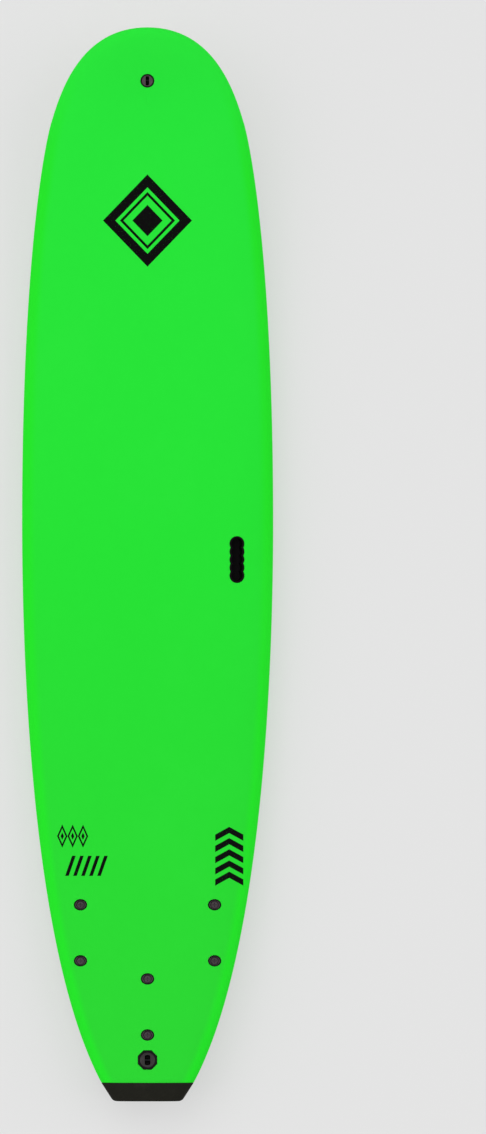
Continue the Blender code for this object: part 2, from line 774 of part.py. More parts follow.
def build_leash_plug(deck, bottom):
    """Octagonal cup, steel pin and base disc. Returns the cutters by layer."""
    base_rim = (LEASH_BASE_RADIUS, LEASH_BASE_RADIUS)
    seat = through_seat("leash_seat", deck, bottom, 0.0, LENGTH - LEASH_FROM_TAIL, *base_rim)
    top = min(rim_heights(deck, 1, seat, LEASH_FLATS / 2, LEASH_FLATS / 2))
    stem_end = -LEASH_BODY_DEPTH - LEASH_STEM_LENGTH

    plate = octagon_mesh("leash_cup", LEASH_FLATS, -LEASH_FLANGE, 0)
    cup = add_part("leash_cup", plate, "plug_black", seat, top)
    bevel = cup.modifiers.new("eased_edge", "BEVEL")
    bevel.width = LEASH_FLANGE_EDGE
    bevel.segments = 1
    bevel.limit_method = "ANGLE"
    body_profile = [
        (0, -LEASH_FLANGE / 2),
        (LEASH_BODY_RADIUS, -LEASH_FLANGE / 2),
        (LEASH_BODY_RADIUS, -LEASH_BODY_DEPTH),
        (LEASH_STEM_RADIUS, -LEASH_BODY_DEPTH),
        (LEASH_STEM_RADIUS, stem_end),
        (0, stem_end),
    ]
    body = turned_mesh("leash_body", body_profile, LEASH_SIDES)
    boolean(cup, "UNION", add_cutter("leash_body", body, seat, top))
    dish_profile = [
        (0, OVERSHOOT),
        (LEASH_DISH_RADIUS, OVERSHOOT),
        (LEASH_DISH_RADIUS, 0),
        (LEASH_DISH_FLOOR_RADIUS, -LEASH_DISH_DEPTH),
        (0, -LEASH_DISH_DEPTH),
    ]
    dish = turned_mesh("leash_dish", dish_profile, LEASH_SIDES)
    boolean(cup, "DIFFERENCE", add_cutter("leash_dish", dish, seat, top))
    slot = (LEASH_SLOT_WIDTH, LEASH_SLOT_LENGTH, LEASH_SLOT_DEPTH)
    pin = (LEASH_PIN_RADIUS, LEASH_PIN_LENGTH, LEASH_PIN_DEPTH, 12)
    for cutter in slot_and_pin_cutters("leash", seat, top, slot, pin):
        boolean(cup, "DIFFERENCE", cutter)
    bar = pin_mesh("leash_pin", LEASH_PIN_RADIUS, LEASH_PIN_LENGTH, 12)
    add_part("leash_pin", bar, "pin_steel", seat, top - LEASH_PIN_DEPTH)

    tube_inner = LEASH_STEM_RADIUS + PLUG_CLEARANCE
    tube_outer = tube_inner + LEASH_TUBE_WALL
    tube_top = top - LEASH_BODY_DEPTH - GAP
    stem_room_end = top + stem_end - GAP
    base_profile = [
        (0, stem_room_end),
        (tube_inner, stem_room_end),
        (tube_inner, tube_top),
        (tube_outer, tube_top),
        (tube_outer, LEASH_BASE),
        (LEASH_BASE_RADIUS, LEASH_BASE),
        (LEASH_BASE_RADIUS, 0),
        (0, 0),
    ]
    base = turned_mesh("leash_base", base_profile, LEASH_SIDES)
    add_part("leash_base", base, "plug_black", seat)

    pocket_mesh = octagon_mesh(
        "leash_deck_pocket", LEASH_FLATS + 2 * PLUG_CLEARANCE, -LEASH_FLANGE - GAP, OVERSHOOT
    )
    deck_pocket = add_cutter("leash_deck_pocket", pocket_mesh, seat, top)
    body_room = LEASH_BODY_RADIUS + PLUG_CLEARANCE
    tube_room = tube_outer + PLUG_CLEARANCE
    step = top - LEASH_BODY_DEPTH - GAP
    bore_profile = [
        (0, top + OVERSHOOT),
        (body_room, top + OVERSHOOT),
        (body_room, step),
        (tube_room, step),
        (tube_room, -OVERSHOOT),
        (0, -OVERSHOOT),
    ]
    bore = add_cutter("leash_bore", turned_mesh("leash_bore", bore_profile, LEASH_SIDES), seat)
    base_room = LEASH_BASE_RADIUS + PLUG_CLEARANCE
    base_mesh = cylinder_mesh("leash_base_pocket", base_room, -OVERSHOOT, LEASH_BASE + GAP, LEASH_SIDES)
    base_pocket = add_cutter("leash_base_pocket", base_mesh, seat)
    return {
        "deck_skin": [deck_pocket, bore],
        "core_centre": [bore],
        "bottom_foam": [base_pocket, bore],
        "film": [base_pocket],
    }


def build_nose_plug(deck):
    """Round cup and steel pin near the nose. Returns the cutters by layer."""
    rim = (NOSE_PLUG_FLANGE_RADIUS, NOSE_PLUG_FLANGE_RADIUS)
    seat = deck_seat("nose_plug_seat", deck, 0.0, NOSE_PLUG_BACK, *rim)
    profile = [
        (0, 0),
        (NOSE_PLUG_FLANGE_RADIUS, 0),
        (NOSE_PLUG_FLANGE_RADIUS, -NOSE_PLUG_FLANGE),
        (NOSE_PLUG_BODY_RADIUS, -NOSE_PLUG_FLANGE),
        (NOSE_PLUG_BODY_RADIUS, -NOSE_PLUG_BODY_DEPTH),
        (0, -NOSE_PLUG_BODY_DEPTH),
    ]
    body = turned_mesh("nose_plug_cup", profile, NOSE_PLUG_SIDES)
    cup = add_part("nose_plug_cup", body, "plug_black", seat)
    slot = (NOSE_PLUG_SLOT_WIDTH, NOSE_PLUG_SLOT_LENGTH, NOSE_PLUG_SLOT_DEPTH)
    pin = (NOSE_PLUG_PIN_RADIUS, NOSE_PLUG_PIN_LENGTH, NOSE_PLUG_PIN_DEPTH, 10)
    for cutter in slot_and_pin_cutters("nose_plug", seat, 0.0, slot, pin):
        boolean(cup, "DIFFERENCE", cutter)
    bar = pin_mesh("nose_plug_pin", NOSE_PLUG_PIN_RADIUS, NOSE_PLUG_PIN_LENGTH, 10)
    add_part("nose_plug_pin", bar, "pin_steel", seat, -NOSE_PLUG_PIN_DEPTH)

    flange_room = NOSE_PLUG_FLANGE_RADIUS + PLUG_CLEARANCE
    body_room = NOSE_PLUG_BODY_RADIUS + PLUG_CLEARANCE
    pocket_profile = [
        (0, OVERSHOOT),
        (flange_room, OVERSHOOT),
        (flange_room, -NOSE_PLUG_FLANGE - GAP),
        (body_room, -NOSE_PLUG_FLANGE - GAP),
        (body_room, -NOSE_PLUG_BODY_DEPTH - GAP),
        (0, -NOSE_PLUG_BODY_DEPTH - GAP),
    ]
    pocket_mesh = turned_mesh("nose_plug_pocket", pocket_profile, NOSE_PLUG_SIDES)
    pocket = add_cutter("nose_plug_pocket", pocket_mesh, seat)
    return {"deck_skin": [pocket], "core_centre": [pocket]}


# Finger grip


def lobed_outline(radius):
    """Outline of the row of overlapping lobes, anticlockwise from the right of the rearmost one."""
    half_bite = math.asin(GRIP_LOBE_SPACING / 2 / radius)
    centres = [(lobe - (GRIP_LOBES - 1) / 2) * GRIP_LOBE_SPACING for lobe in range(GRIP_LOBES)]
    points = []

    def add_arc(centre, start, end, steps):
        for step in range(steps):
            angle = start + (end - start) * step / steps
            points.append((radius * math.cos(angle), centre + radius * math.sin(angle)))

    for centre in centres[1:-1]:
        add_arc(centre, -half_bite, half_bite, GRIP_ARC_STEPS)
    add_arc(centres[-1], -half_bite, math.pi + half_bite, 2 * GRIP_ARC_STEPS + 2)
    for centre in reversed(centres[1:-1]):
        add_arc(centre, math.pi - half_bite, math.pi + half_bite, GRIP_ARC_STEPS)
    add_arc(centres[0], math.pi - half_bite, 2 * math.pi + half_bite, 2 * GRIP_ARC_STEPS + 2)
    return points


def lobed_mesh(name, levels):
    """Solid through lobed outlines, each a (lobe radius, height), from the top outer one inwards."""
    rings = [[(x, y, height) for x, y in lobed_outline(radius)] for radius, height in levels]
    count = len(rings[0])
    points = [point for ring in rings for point in ring]
    faces = [
        (
            ring * count + i,
            (ring + 1) * count + i,
            (ring + 1) * count + (i + 1) % count,
            ring * count + (i + 1) % count,
        )
        for ring in range(len(rings) - 1)
        for i in range(count)
    ]
    last = (len(rings) - 1) * count
    faces.append(tuple(range(count)))
    faces.append(tuple(reversed(range(last, last + count))))
    return mesh_of(name, points, faces)


def build_grip(deck):
    """The moulded pocket for the fingers. Returns the cutters by layer."""
    half_length = (GRIP_LOBES - 1) / 2 * GRIP_LOBE_SPACING + GRIP_LOBE_RADIUS
    x = WIDTH / 2 - GRIP_FROM_RAIL
    seat = deck_seat("grip_seat", deck, x, GRIP_BACK, GRIP_LOBE_RADIUS, half_length)
    body = GRIP_LOBE_RADIUS - GRIP_LIP
    pocket = body - GRIP_WALL
    levels = [
        (GRIP_LOBE_RADIUS, 0),
        (GRIP_LOBE_RADIUS, -GRIP_FLANGE),
        (body, -GRIP_FLANGE),
        (body, -GRIP_DEPTH),
    ]
    grip = add_part("hand_grip", lobed_mesh("hand_grip", levels), "grip_black", seat)
    inside = [(pocket, OVERSHOOT), (pocket, -GRIP_DEPTH + GRIP_FLOOR)]
    boolean(grip, "DIFFERENCE", add_cutter("grip_inside", lobed_mesh("grip_inside", inside), seat))

    room = [
        (GRIP_LOBE_RADIUS + PLUG_CLEARANCE, OVERSHOOT),
        (GRIP_LOBE_RADIUS + PLUG_CLEARANCE, -GRIP_FLANGE - GAP),
        (body + PLUG_CLEARANCE, -GRIP_FLANGE - GAP),
        (body + PLUG_CLEARANCE, -GRIP_DEPTH - GAP),
    ]
    cutter = add_cutter("grip_room", lobed_mesh("grip_room", room), seat)
    return {"deck_skin": [cutter], "core_right": [cutter]}


def cut_layers(cutter_sets):
    """Opens every layer where a plug or pocket goes through it."""
    for cutters in cutter_sets:
        for layer, tools in cutters.items():
            for name in ("slick_skin", "bottom_print") if layer == "film" else (layer,):
                for tool in tools:
                    boolean(bpy.data.objects[name], "DIFFERENCE", tool)


def main():
    for obj in list(bpy.data.objects):
        bpy.data.objects.remove(obj)
    new_collection("soft_top_surfboard")
    new_collection("cutters")
    build_body()
    build_bumper()
    deck, bottom = facets_of("deck_skin"), facets_of("slick_skin")
    cut_layers(build_fin_plugs(deck, bottom))
    cut_layers([build_leash_plug(deck, bottom), build_nose_plug(deck), build_grip(deck)])


main()
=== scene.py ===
"""Looks of the soft-top surfboard, lying on a plain floor and seen from straight above.

Smooth skins, bumper, plugs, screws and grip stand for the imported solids, which keep the places. The board
lies on its bottom: +Y points to the nose, +X to the right seen from above and +Z up. Back is the distance
along the board from the nose tip. Sizes are in metres.
"""

import math

import bpy
import numpy as np
from mathutils import Matrix, Vector


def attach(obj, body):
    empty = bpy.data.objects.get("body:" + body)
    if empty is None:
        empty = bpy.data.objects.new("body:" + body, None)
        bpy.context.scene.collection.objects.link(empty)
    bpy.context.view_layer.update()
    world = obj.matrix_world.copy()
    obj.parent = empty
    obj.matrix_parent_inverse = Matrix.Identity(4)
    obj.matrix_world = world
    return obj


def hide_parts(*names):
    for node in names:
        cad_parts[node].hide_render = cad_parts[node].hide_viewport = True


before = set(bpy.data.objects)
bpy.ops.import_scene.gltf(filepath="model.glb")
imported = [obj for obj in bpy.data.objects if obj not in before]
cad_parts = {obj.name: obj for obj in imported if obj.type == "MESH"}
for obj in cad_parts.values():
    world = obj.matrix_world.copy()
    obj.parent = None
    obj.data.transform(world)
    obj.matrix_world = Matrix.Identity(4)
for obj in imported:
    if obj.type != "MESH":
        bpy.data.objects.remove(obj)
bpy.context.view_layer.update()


def srgb(red, green, blue):
    """A screen colour of 0 to 255 as the linear colour that a shader takes."""
    shares = (red / 255, green / 255, blue / 255)
    linear = [share / 12.92 if share <= 0.04045 else ((share + 0.055) / 1.055) ** 2.4 for share in shares]
    return (*linear, 1.0)


# The photograph's frame, and where the board lies in it
IMAGE_WIDTH = 486
IMAGE_HEIGHT = 1134
BOARD_PIXELS = 1072.3
CENTRELINE_PIXEL = 147.6
NOSE_TIP_PIXEL = 28.5

# Camera: lens and sensor in millimetres, and the height at which its scale holds
LENS = 600
SENSOR = 36
CAMERA_REACH = 400
RAIL_HEIGHT = 0.050

# The board's outline, side view and section, as in the part's source
LENGTH = 2.134
WIDTH = 0.500
NOSE_HANDLE = 0.135
SHOULDER_BACK = 0.1905
SHOULDER_HALF_WIDTH = 0.192
SHOULDER_FLARE = 0.30
SHOULDER_HANDLE_NOSE = 0.060
SHOULDER_HANDLE_TAIL = 0.029
WIDE_BACK = 0.983
WIDE_HANDLE_NOSE = 0.550
WIDE_HANDLE_TAIL = 0.266
TAIL_FLARE = 0.533
TAIL_HANDLE = 0.264
NOSE_RADIUS = 0.155
FAN_END_BACK = 0.400
FLAT_START_BACK = 0.850
FLAT_LENGTH = 0.400
NOSE_ROCKER = 0.115
NOSE_ROCKER_POWER = 2.3
TAIL_ROCKER = 0.050
TAIL_ROCKER_POWER = 2.0
THICKEST_BACK = 1.000
MIDDLE_THICKNESS = 0.080
NOSE_THICKNESS = 0.038
NOSE_TAPER_POWER = 2.2
TAIL_THICKNESS = 0.046
TAIL_TAPER_POWER = 2.0
RAIL_APEX_SHARE = 0.42
RAIL_TUCK = 0.033
DECK_FULLNESS = 3.0
DECK_STEP_BIAS = 1.5
DECK_FOAM = 0.0050
SLICK = 0.0012
SEAM_IN = 0.011
GAP = 0.0003
BUMPER_LENGTH = 0.0366
BUMPER_FRONT_WIDTH = 0.1838
BUMPER_END_WIDTH = 0.1368
BUMPER_CORNER = 0.0125
BUMPER_EDGE = 0.004
BUMPER_FRONT_BACK = LENGTH - BUMPER_LENGTH

# How finely the skins are drawn
OUTLINE_STEPS = (32, 40, 80)
FLAT_SHARES = (0.0, 0.25, 0.5, 0.75)
TUCK_STEPS = 9
LIP_STEPS = 7
DECK_STEPS = 36
BUMPER_STRAIGHT_STEPS = 4
BUMPER_CORNER_STEPS = 12

# Merging, easing and shading of meshes
MERGE_DISTANCE = 0.000005
TOUCHING = 0.00001
EASED_CORNERS = math.radians(60)
SMOOTH_CORNERS = math.radians(32)
SOFT_EDGE = 0.0006
FACING = 0.9

# Off every axis of the turned pieces: no two edges or faces of one piece are equally far from it
COUNTING_POINT = (0.0113, 0.0171, 0.0031)

# Holes in the skins: the foam's rounded lip as (out from the hole, above the foam), from the top down
FOAM_LIP = ((0.0030, 0.0018), (0.00032, -0.00020), (0.00011, -0.00049), (0.0, -0.00083))
FOAM_HOLE_REACH = 0.020
SLICK_HOLE_REACH = 0.004
OCTAGON_SIDE_STEPS = 8

# Plugs, screws and pins. A profile is (radius, height) points, a slot or cross (width, length, depth,
# corner) and a pin (radius, length, depth, edge)
CLEARANCE = 0.0003
ROUND_SIDES = 64
PIN_SIDES = 32
PIN_HOLE_EDGE = 0.0002
RECESS_BOX = 0.0400
OVAL_SHARE = 0.846
CUP_FLANGE_RADIUS = 0.0130
CUP_FLANGE = 0.0018
CUP_RADIUS = 0.0102
CUP_COLLAR_RADIUS = 0.0104
COLLAR_STEP = 0.0003
COLLAR_LEAN = 0.0002
CUP_MOUTH_CHAMFER = (0.0003, 0.0004)
CUP_DEPTH = 0.0065
CUP_FLOOR = 0.0030
SCREW_HEAD_RADIUS = 0.0080
SCREW_HEAD = 0.0042
SCREW_DOME = (
    (0.0014, SCREW_HEAD),
    (0.0040, 0.00405),
    (0.0060, 0.00375),
    (0.0074, 0.00335),
    (SCREW_HEAD_RADIUS, 0.0027),
)
SCREW_CROSS = (0.0017, 0.0086, 0.0022, 0.0003)
SCREW_RADIUS = 0.0030
SCREW_LENGTH = 0.0200
SCREW_TIP = ((0.0026, -SCREW_LENGTH + 0.0010), (0.0018, -SCREW_LENGTH))
THREAD_ROOT_RADIUS = 0.0026
THREAD_START = 0.0020
THREAD_PITCH = 0.0020
THREAD_TURNS = 8
THREAD_CREST = (0.4, 0.6)
SLEEVE_FLANGE_RADIUS = 0.0120
SLEEVE_FLANGE = 0.0022
SLEEVE_RADIUS = 0.0080
POST_BORE_RADIUS = 0.0060
POST_BORE_CHAMFER = 0.0009
LEASH_FLATS = 0.038
LEASH_FLANGE = 0.0030
LEASH_EDGE = 0.0010
LEASH_BODY_RADIUS = 0.0150
LEASH_BODY_DEPTH = 0.0200
LEASH_STEM_RADIUS = 0.0060
LEASH_STEM_LENGTH = 0.0120
LEASH_DISH_RADIUS = 0.0148
LEASH_DISH = (
    (0.0158, 0.0100),
    (0.0158, 0.0002),
    (LEASH_DISH_RADIUS, -0.0003),
    (0.0124, -0.0018),
    (0.0112, -0.0020),
)
LEASH_SLOT = (0.0110, 0.0200, 0.0160, 0.0030)
LEASH_PIN = (0.0020, 0.0180, 0.0062, 0.0004)
LEASH_BASE_RADIUS = 0.0290
LEASH_BASE = 0.0026
LEASH_BASE_GROOVE = ((0.0215, 0), (0.0210, 0.0004), (0.0200, 0.0004), (0.0195, 0))
LEASH_TUBE_WALL = 0.0030
NOSE_FLANGE_RADIUS = 0.0135
NOSE_FLANGE = 0.0020
NOSE_DISH_REACH = 0.0100
NOSE_BODY_RADIUS = 0.0115
NOSE_BODY_DEPTH = 0.0180
NOSE_SLOT = (0.0070, 0.0190, 0.0140, 0.0022)
NOSE_PIN = (0.0015, 0.0150, 0.0050, 0.0003)

# Depths between which a face lies in a dish, and how squarely it looks out
DISH_DEPTHS = (0.0002, 0.0030)
DISH_FACING = 0.3

# The finger grip
GRIP_LOBES = 5
GRIP_LOBE_SPACING = 0.0158
GRIP_LOBE_RADIUS = 0.0147
GRIP_LOBE_STEPS = 10
GRIP_LIP = 0.0018
GRIP_FLANGE = 0.0018
GRIP_WALL = 0.0018
GRIP_DEPTH = 0.0300
GRIP_FLOOR = 0.0025
GRIP_FLOOR_CORNER = ((0.0012, 0), (0.0002, 0.0006), (0, 0.0016))
GRIP_RIB_HEIGHTS = (-0.0205, -0.0155, -0.0105)
GRIP_RIB = (0.0005, 0.0008)
GRIP_MOUTH = ((0, 0.0016), (0.0005, 0.0005), (0.0014, 0))

# Rounded rims as (in from the rim, below the face), from the face outwards
CUP_RIM = ((0.0009, 0), (0.0003, 0.0002), (0, 0.0007))
SLEEVE_RIM = ((0.0008, 0), (0.0003, 0.0001), (0, 0.0006))
LEASH_BASE_RIM = ((0.0009, 0), (0.0003, 0.0002), (0, 0.0008))
NOSE_RIM = ((0.0026, 0.0004), (0.0022, 0), (0.0010, 0), (0.0003, 0.0003), (0, 0.0009))
GRIP_RIM = ((0.0012, 0), (0.0003, 0.0003), (0, 0.0010))

# Prints on the deck: (across, along) of the middle and (width, length) over all
FRONT_MOTIF = ((0.0, 0.684), (0.177, 0.183))
SIDE_MOTIF = ((-0.149, -0.540), (0.062, 0.046))
SIDE_BARS = ((-0.1215, -0.599), (0.085, 0.040))
TAIL_CHEVRONS = ((0.1625, -0.580), (0.056, 0.117))

# Deck colours: (share of the length from the nose, tone), lighter near the nose as a painted highlight and
# darker towards the tail as painted shade, and the bands along the rail and the seam
DECK_TONES_WITH_PAINTED_LIGHT = (
    (0.0, srgb(39, 227, 57)),
    (0.07, srgb(38, 231, 58)),
    (0.5, srgb(36, 226, 51)),
    (0.77, srgb(40, 219, 50)),
    (1.0, srgb(43, 213, 49)),
)
# Painted light: the rounded rail is brighter and greener than the deck
RAIL_PAINTED_LIGHT_TONE = srgb(35, 231, 40)
RAIL_BAND = (0.030, 0.012)
RAIL_BAND_START = (0.02, 0.16)
DECK_SHADE = srgb(30, 194, 46)
DECK_RUBBED = srgb(66, 232, 79)
DECK_LIP = 0.0022
INK = srgb(3, 2, 3)

# Bottom print: bare border, film seam, ground tones, and (near the nose, near the tail) of each ink; the
# ground and every ink darken towards the tail with painted shade
PALE_BORDER = 0.017
FILM_SEAM_BACK = 0.900
FILM_SEAM = 0.0005
PRINT_TONES_WITH_PAINTED_SHADE = (
    (0.0, srgb(251, 253, 240)),
    (0.10, srgb(232, 243, 220)),
    (0.19, srgb(204, 229, 207)),
    (0.26, srgb(192, 227, 205)),
    (0.40, srgb(181, 224, 202)),
    (0.54, srgb(171, 200, 178)),
    (0.63, srgb(164, 184, 147)),
    (0.77, srgb(157, 166, 118)),
    (1.0, srgb(143, 150, 106)),
)
PRINT_HAZE = srgb(226, 238, 214)
PRINT_AFT = srgb(150, 160, 140)
BORDER_TONE = srgb(206, 230, 211)
SEAM_TONE = srgb(120, 150, 128)
SCRATCH_TONE = srgb(240, 244, 238)
SKY_TONES = (srgb(204, 231, 236), srgb(176, 200, 204))
GREEN_TONES = (srgb(66, 200, 148), srgb(104, 128, 84))
CORAL_TONES = (srgb(238, 158, 112), srgb(160, 98, 66))
YELLOW_TONES = (srgb(252, 246, 140), srgb(156, 152, 56))
PLUM_TONES = (srgb(66, 56, 62), srgb(74, 62, 52))

# Shapes of the bottom print: middle (across, along) and size
GREEN_DISCS = (((-0.085, 0.470), 0.115), ((0.090, -0.330), 0.120))
SKY_DOTS = (((0.100, 0.640), 0.075), ((-0.110, -0.100), 0.085), ((0.030, 0.210), 0.060))
SKY_DOT_PITCH = 0.014
CORAL_HALVES = (((0.070, 0.330), 0.062, 1), ((-0.070, -0.640), 0.080, -1))
YELLOW_SPARK = 0.044
YELLOW_SPARKS = (
    (0.020, 0.800),
    (-0.130, 0.720),
    (0.150, 0.500),
    (-0.180, 0.260),
    (0.180, 0.080),
    (0.010, -0.060),
    (-0.190, -0.330),
    (0.020, -0.520),
    (0.130, -0.620),
    (-0.040, -0.860),
)
PLUM_ARROWS = (((0.0, 0.620), (0.080, 0.120)), ((-0.060, -0.400), (0.110, 0.150)))

# Moulded finishes: dark and rubbed tone, roughness, shine, and size and depth of the grain
MOULDED = {
    "plug_black": (srgb(7, 6, 7), srgb(19, 17, 19), 0.45, 0.08, 0.0007, 0.00005),
    "screw_grey": (srgb(56, 47, 53), srgb(84, 73, 80), 0.50, 0.20, 0.0006, 0.00005),
    "dish_grey": (srgb(66, 54, 59), srgb(98, 84, 89), 0.55, 0.20, 0.0006, 0.00005),
    # The leash dish's grey is darker than the other greys: partly painted shade of the recessed dish round
    # its slot
    "leash_dish": (srgb(38, 35, 35), srgb(58, 54, 53), 0.50, 0.20, 0.0006, 0.00005),
    "bumper_rubber": (srgb(18, 18, 12), srgb(37, 36, 29), 0.72, 0.10, 0.0013, 0.00012),
    "grip_black": (srgb(5, 2, 5), srgb(14, 9, 14), 0.50, 0.06, 0.0009, 0.00006),
}

# Pins, core, sheet and stringers
# The pin steel is darkened with painted shade of the deep slots it lies in
SHADED_STEEL_TONES = (srgb(22, 22, 24), srgb(36, 36, 38))
STEEL_RUBBED = srgb(66, 65, 64)
BEAD_SIZE = 0.0042
BEAD_TONES = (srgb(240, 240, 234), srgb(232, 233, 228))
BEAD_JOINT = srgb(208, 208, 202)
SHEET_TONES = (srgb(236, 237, 233), srgb(222, 224, 219))
WOOD_TONES = (srgb(198, 160, 112), srgb(168, 124, 78))
WOOD_FIGURE = srgb(150, 106, 66)
PLY = 0.00125
PLY_GLUE = srgb(96, 62, 40)

# Floor and light: azimuth, elevation and share of the light of each lamp
FLOOR_SIZE = 400.0
FLOOR_DROP = 0.0004
FLOOR_TONE = srgb(228, 228, 228)
FLOOR_UNSHADED = 0.65
FLOOR_SHADOW_REACH = (1.2, 3.0)
WORLD_STRENGTH = 0.50
LAMP_WIDTH = 50
LAMPS = (
    ("left_softbox", 175, 36, 0.15),
    ("right_softbox", 10, 36, 0.14),
    ("nose_softbox", 110, 50, 0.16),
    ("top_softbox", 270, 75, 0.06),
)


# Small helpers for modelling


def deselect():
    if bpy.context.mode != "OBJECT":
        bpy.ops.object.mode_set(mode="OBJECT")
    bpy.ops.object.select_all(action="DESELECT")


def pick(obj):
    """Makes an object the only selected and active one."""
    deselect()
    obj.select_set(True)
    bpy.context.view_layer.objects.active = obj


def edit_all(obj):
    pick(obj)
    bpy.ops.object.mode_set(mode="EDIT")
    bpy.ops.mesh.select_all(action="SELECT")


def leave_edit():
    bpy.ops.object.mode_set(mode="OBJECT")


def named(name):
    """Names the primitive that was just added, and its mesh."""
    obj = bpy.context.object
    obj.name = obj.data.name = name
    return obj


def close_up(obj, ends=True):
    """Merges doubled points, closes open ends and turns every face outwards."""
    edit_all(obj)
    bpy.ops.mesh.remove_doubles(threshold=MERGE_DISTANCE)
    if ends:
        bpy.ops.mesh.fill_holes(sides=0)
        bpy.ops.mesh.select_all(action="SELECT")
    bpy.ops.mesh.normals_make_consistent(inside=False)
    leave_edit()


def apply_modifier(obj, kind, name, **settings):
    modifier = obj.modifiers.new(name, kind)
    for key, value in settings.items():
        setattr(modifier, key, value)
    pick(obj)
    bpy.ops.object.modifier_apply(modifier=name)


def mirror_over(obj):
    """Adds the left half of a shape drawn to the right of the board's midline."""
    apply_modifier(obj, "MIRROR", "left_half", merge_threshold=TOUCHING)


def combine(obj, other, operation):
    """Cuts a shape out of a piece or joins it on, and removes the shape."""
    apply_modifier(obj, "BOOLEAN", "combined", operation=operation, solver="EXACT", object=other)
    bpy.data.objects.remove(other)


def cut(obj, cutter):
    combine(obj, cutter, "DIFFERENCE")


def ease(obj, width, segments=2):
    """Rounds the sharp corners of a piece, as moulding leaves them."""
    apply_modifier(
        obj, "BEVEL", "eased", width=width, segments=segments, limit_method="ANGLE",
        angle_limit=EASED_CORNERS, use_clamp_overlap=False,
    )


def placed(obj, seat):
    """Works a seat's place into the mesh, so that the object itself sits at the origin."""
    obj.matrix_world = seat
    pick(obj)
    bpy.ops.object.transform_apply(location=True, rotation=True, scale=True)
    return obj


def lowered(drop):
    """A step down along a seat's axis."""
    return Matrix.Translation((0, 0, -drop))


def twin(obj, name):
    """A copy with a mesh of its own."""
    copy = obj.copy()
    copy.data = obj.data.copy()
    copy.name = copy.data.name = name
    bpy.context.scene.collection.objects.link(copy)
    return copy


def finished(obj, finish, slot, *nodes):
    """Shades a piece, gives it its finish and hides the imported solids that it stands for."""
    pick(obj)
    bpy.ops.object.shade_smooth_by_angle(angle=SMOOTH_CORNERS)
    obj.data.materials.clear()
    obj.data.materials.append(finish)
    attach(obj, "root")
    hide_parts(*nodes)
    return obj


def inlay(obj, finish, seat, reach):
    """Gives a second finish to the faces that look out of the shallow dish round a seat's axis."""
    obj.data.materials.append(finish)
    local = seat.inverted()
    turn = local.to_3x3()
    shallow, deep = DISH_DEPTHS
    for face in obj.data.polygons:
        middle = local @ face.center
        looks_out = (turn @ face.normal).z > DISH_FACING
        if looks_out and -deep < middle.z < -shallow and math.hypot(middle.x, middle.y) < reach:
            face.material_index = 1


def lofted(name, rows, marks=None):
    """A primitive grid whose points are moved onto rows of points. Marks are kept as its UV map."""
    count, across = rows.shape[:2]
    deselect()
    bpy.ops.mesh.primitive_grid_add(x_subdivisions=across - 1, y_subdivisions=count - 1, size=1)
    obj = named(name)
    obj.data.vertices.foreach_set("co", rows.reshape(-1))
    if marks is not None:
        corner = np.empty(len(obj.data.loops), np.int32)
        obj.data.loops.foreach_get("vertex_index", corner)
        obj.data.uv_layers[0].data.foreach_set("uv", marks.reshape(-1, 2)[corner].ravel())
    obj.data.update()
    return obj


def closed_loft(name, rows):
    """A solid through rows of points that each come back to their start, with flat ends."""
    obj = lofted(name, np.array(rows, np.float32))
    close_up(obj)
    return obj


def turned(name, profile, sides=ROUND_SIDES):
    """A ring drawn out along (radius, height) points, outer side first from the top down.

    The ends are closed by flat faces, unless the profile comes back to its first point.
    """
    hollow = profile[0] == profile[-1]
    radius, height = profile[0]
    deselect()
    bpy.ops.mesh.primitive_circle_add(
        vertices=sides, radius=radius, fill_type="NOTHING" if hollow else "NGON", location=(0, 0, height)
    )
    obj = named(name)
    edit_all(obj)
    for next_radius, next_height in profile[1:]:
        drop = (0, 0, next_height - height)
        bpy.ops.mesh.extrude_region_move(TRANSFORM_OT_translate={"value": drop})
        share = next_radius / radius
        bpy.ops.transform.resize(value=(share, share, 1), center_override=(0, 0, next_height))
        radius, height = next_radius, next_height
    leave_edit()
    pick(obj)
    bpy.ops.object.transform_apply(location=True)
    close_up(obj, ends=False)
    put_in_order(obj)
    return obj


def put_in_order(obj):
    """Numbers edges and faces by their place, because extruding numbers them otherwise in every run."""
    cursor = bpy.context.scene.cursor
    cursor.location = COUNTING_POINT
    edit_all(obj)
    bpy.ops.mesh.sort_elements(type="CURSOR_DISTANCE", elements={"EDGE", "FACE"})
    leave_edit()
    cursor.location = (0, 0, 0)


def rim_points(rim, rounding, side=-1):
    """Profile points of a rounded rim, below the face (side -1) or above it (side 1)."""
    return [(rim - inset, side * drop) for inset, drop in rounding]


def drawn_oval(obj, body_radius):
    """Draws in a flange to an oval that lies across the board, and leaves the round body as it is."""
    for vertex in obj.data.vertices:
        if math.hypot(vertex.co.x, vertex.co.y) > body_radius + TOUCHING:
            vertex.co.y *= OVAL_SHARE
    return obj


def round_rod(name, radius, length, edge):
    """A pin across the board with eased ends."""
    half = length / 2
    profile = [(radius - edge, half), (radius, half - edge), (radius, edge - half), (radius - edge, -half)]
    obj = turned(name, profile, PIN_SIDES)
    edit_all(obj)
    bpy.ops.transform.rotate(value=math.pi / 2, orient_axis="Y", center_override=(0, 0, 0))
    leave_edit()
    return obj


def cut_recess(obj, recess, top=0.0, segments=4):
    """Cuts a slot or socket with rounded corners into a piece, down from the height of its top."""
    width, length, depth, corner = recess
    deselect()
    bpy.ops.mesh.primitive_cube_add(size=1, location=(0, 0, top + RECESS_BOX / 2 - depth))
    box = named("recess")
    box.scale = (width, length, RECESS_BOX)
    bpy.ops.object.transform_apply(location=True, scale=True)
    edit_all(box)
    bpy.ops.mesh.bevel(offset=corner, segments=segments, affect="EDGES")
    leave_edit()
    cut(obj, box)


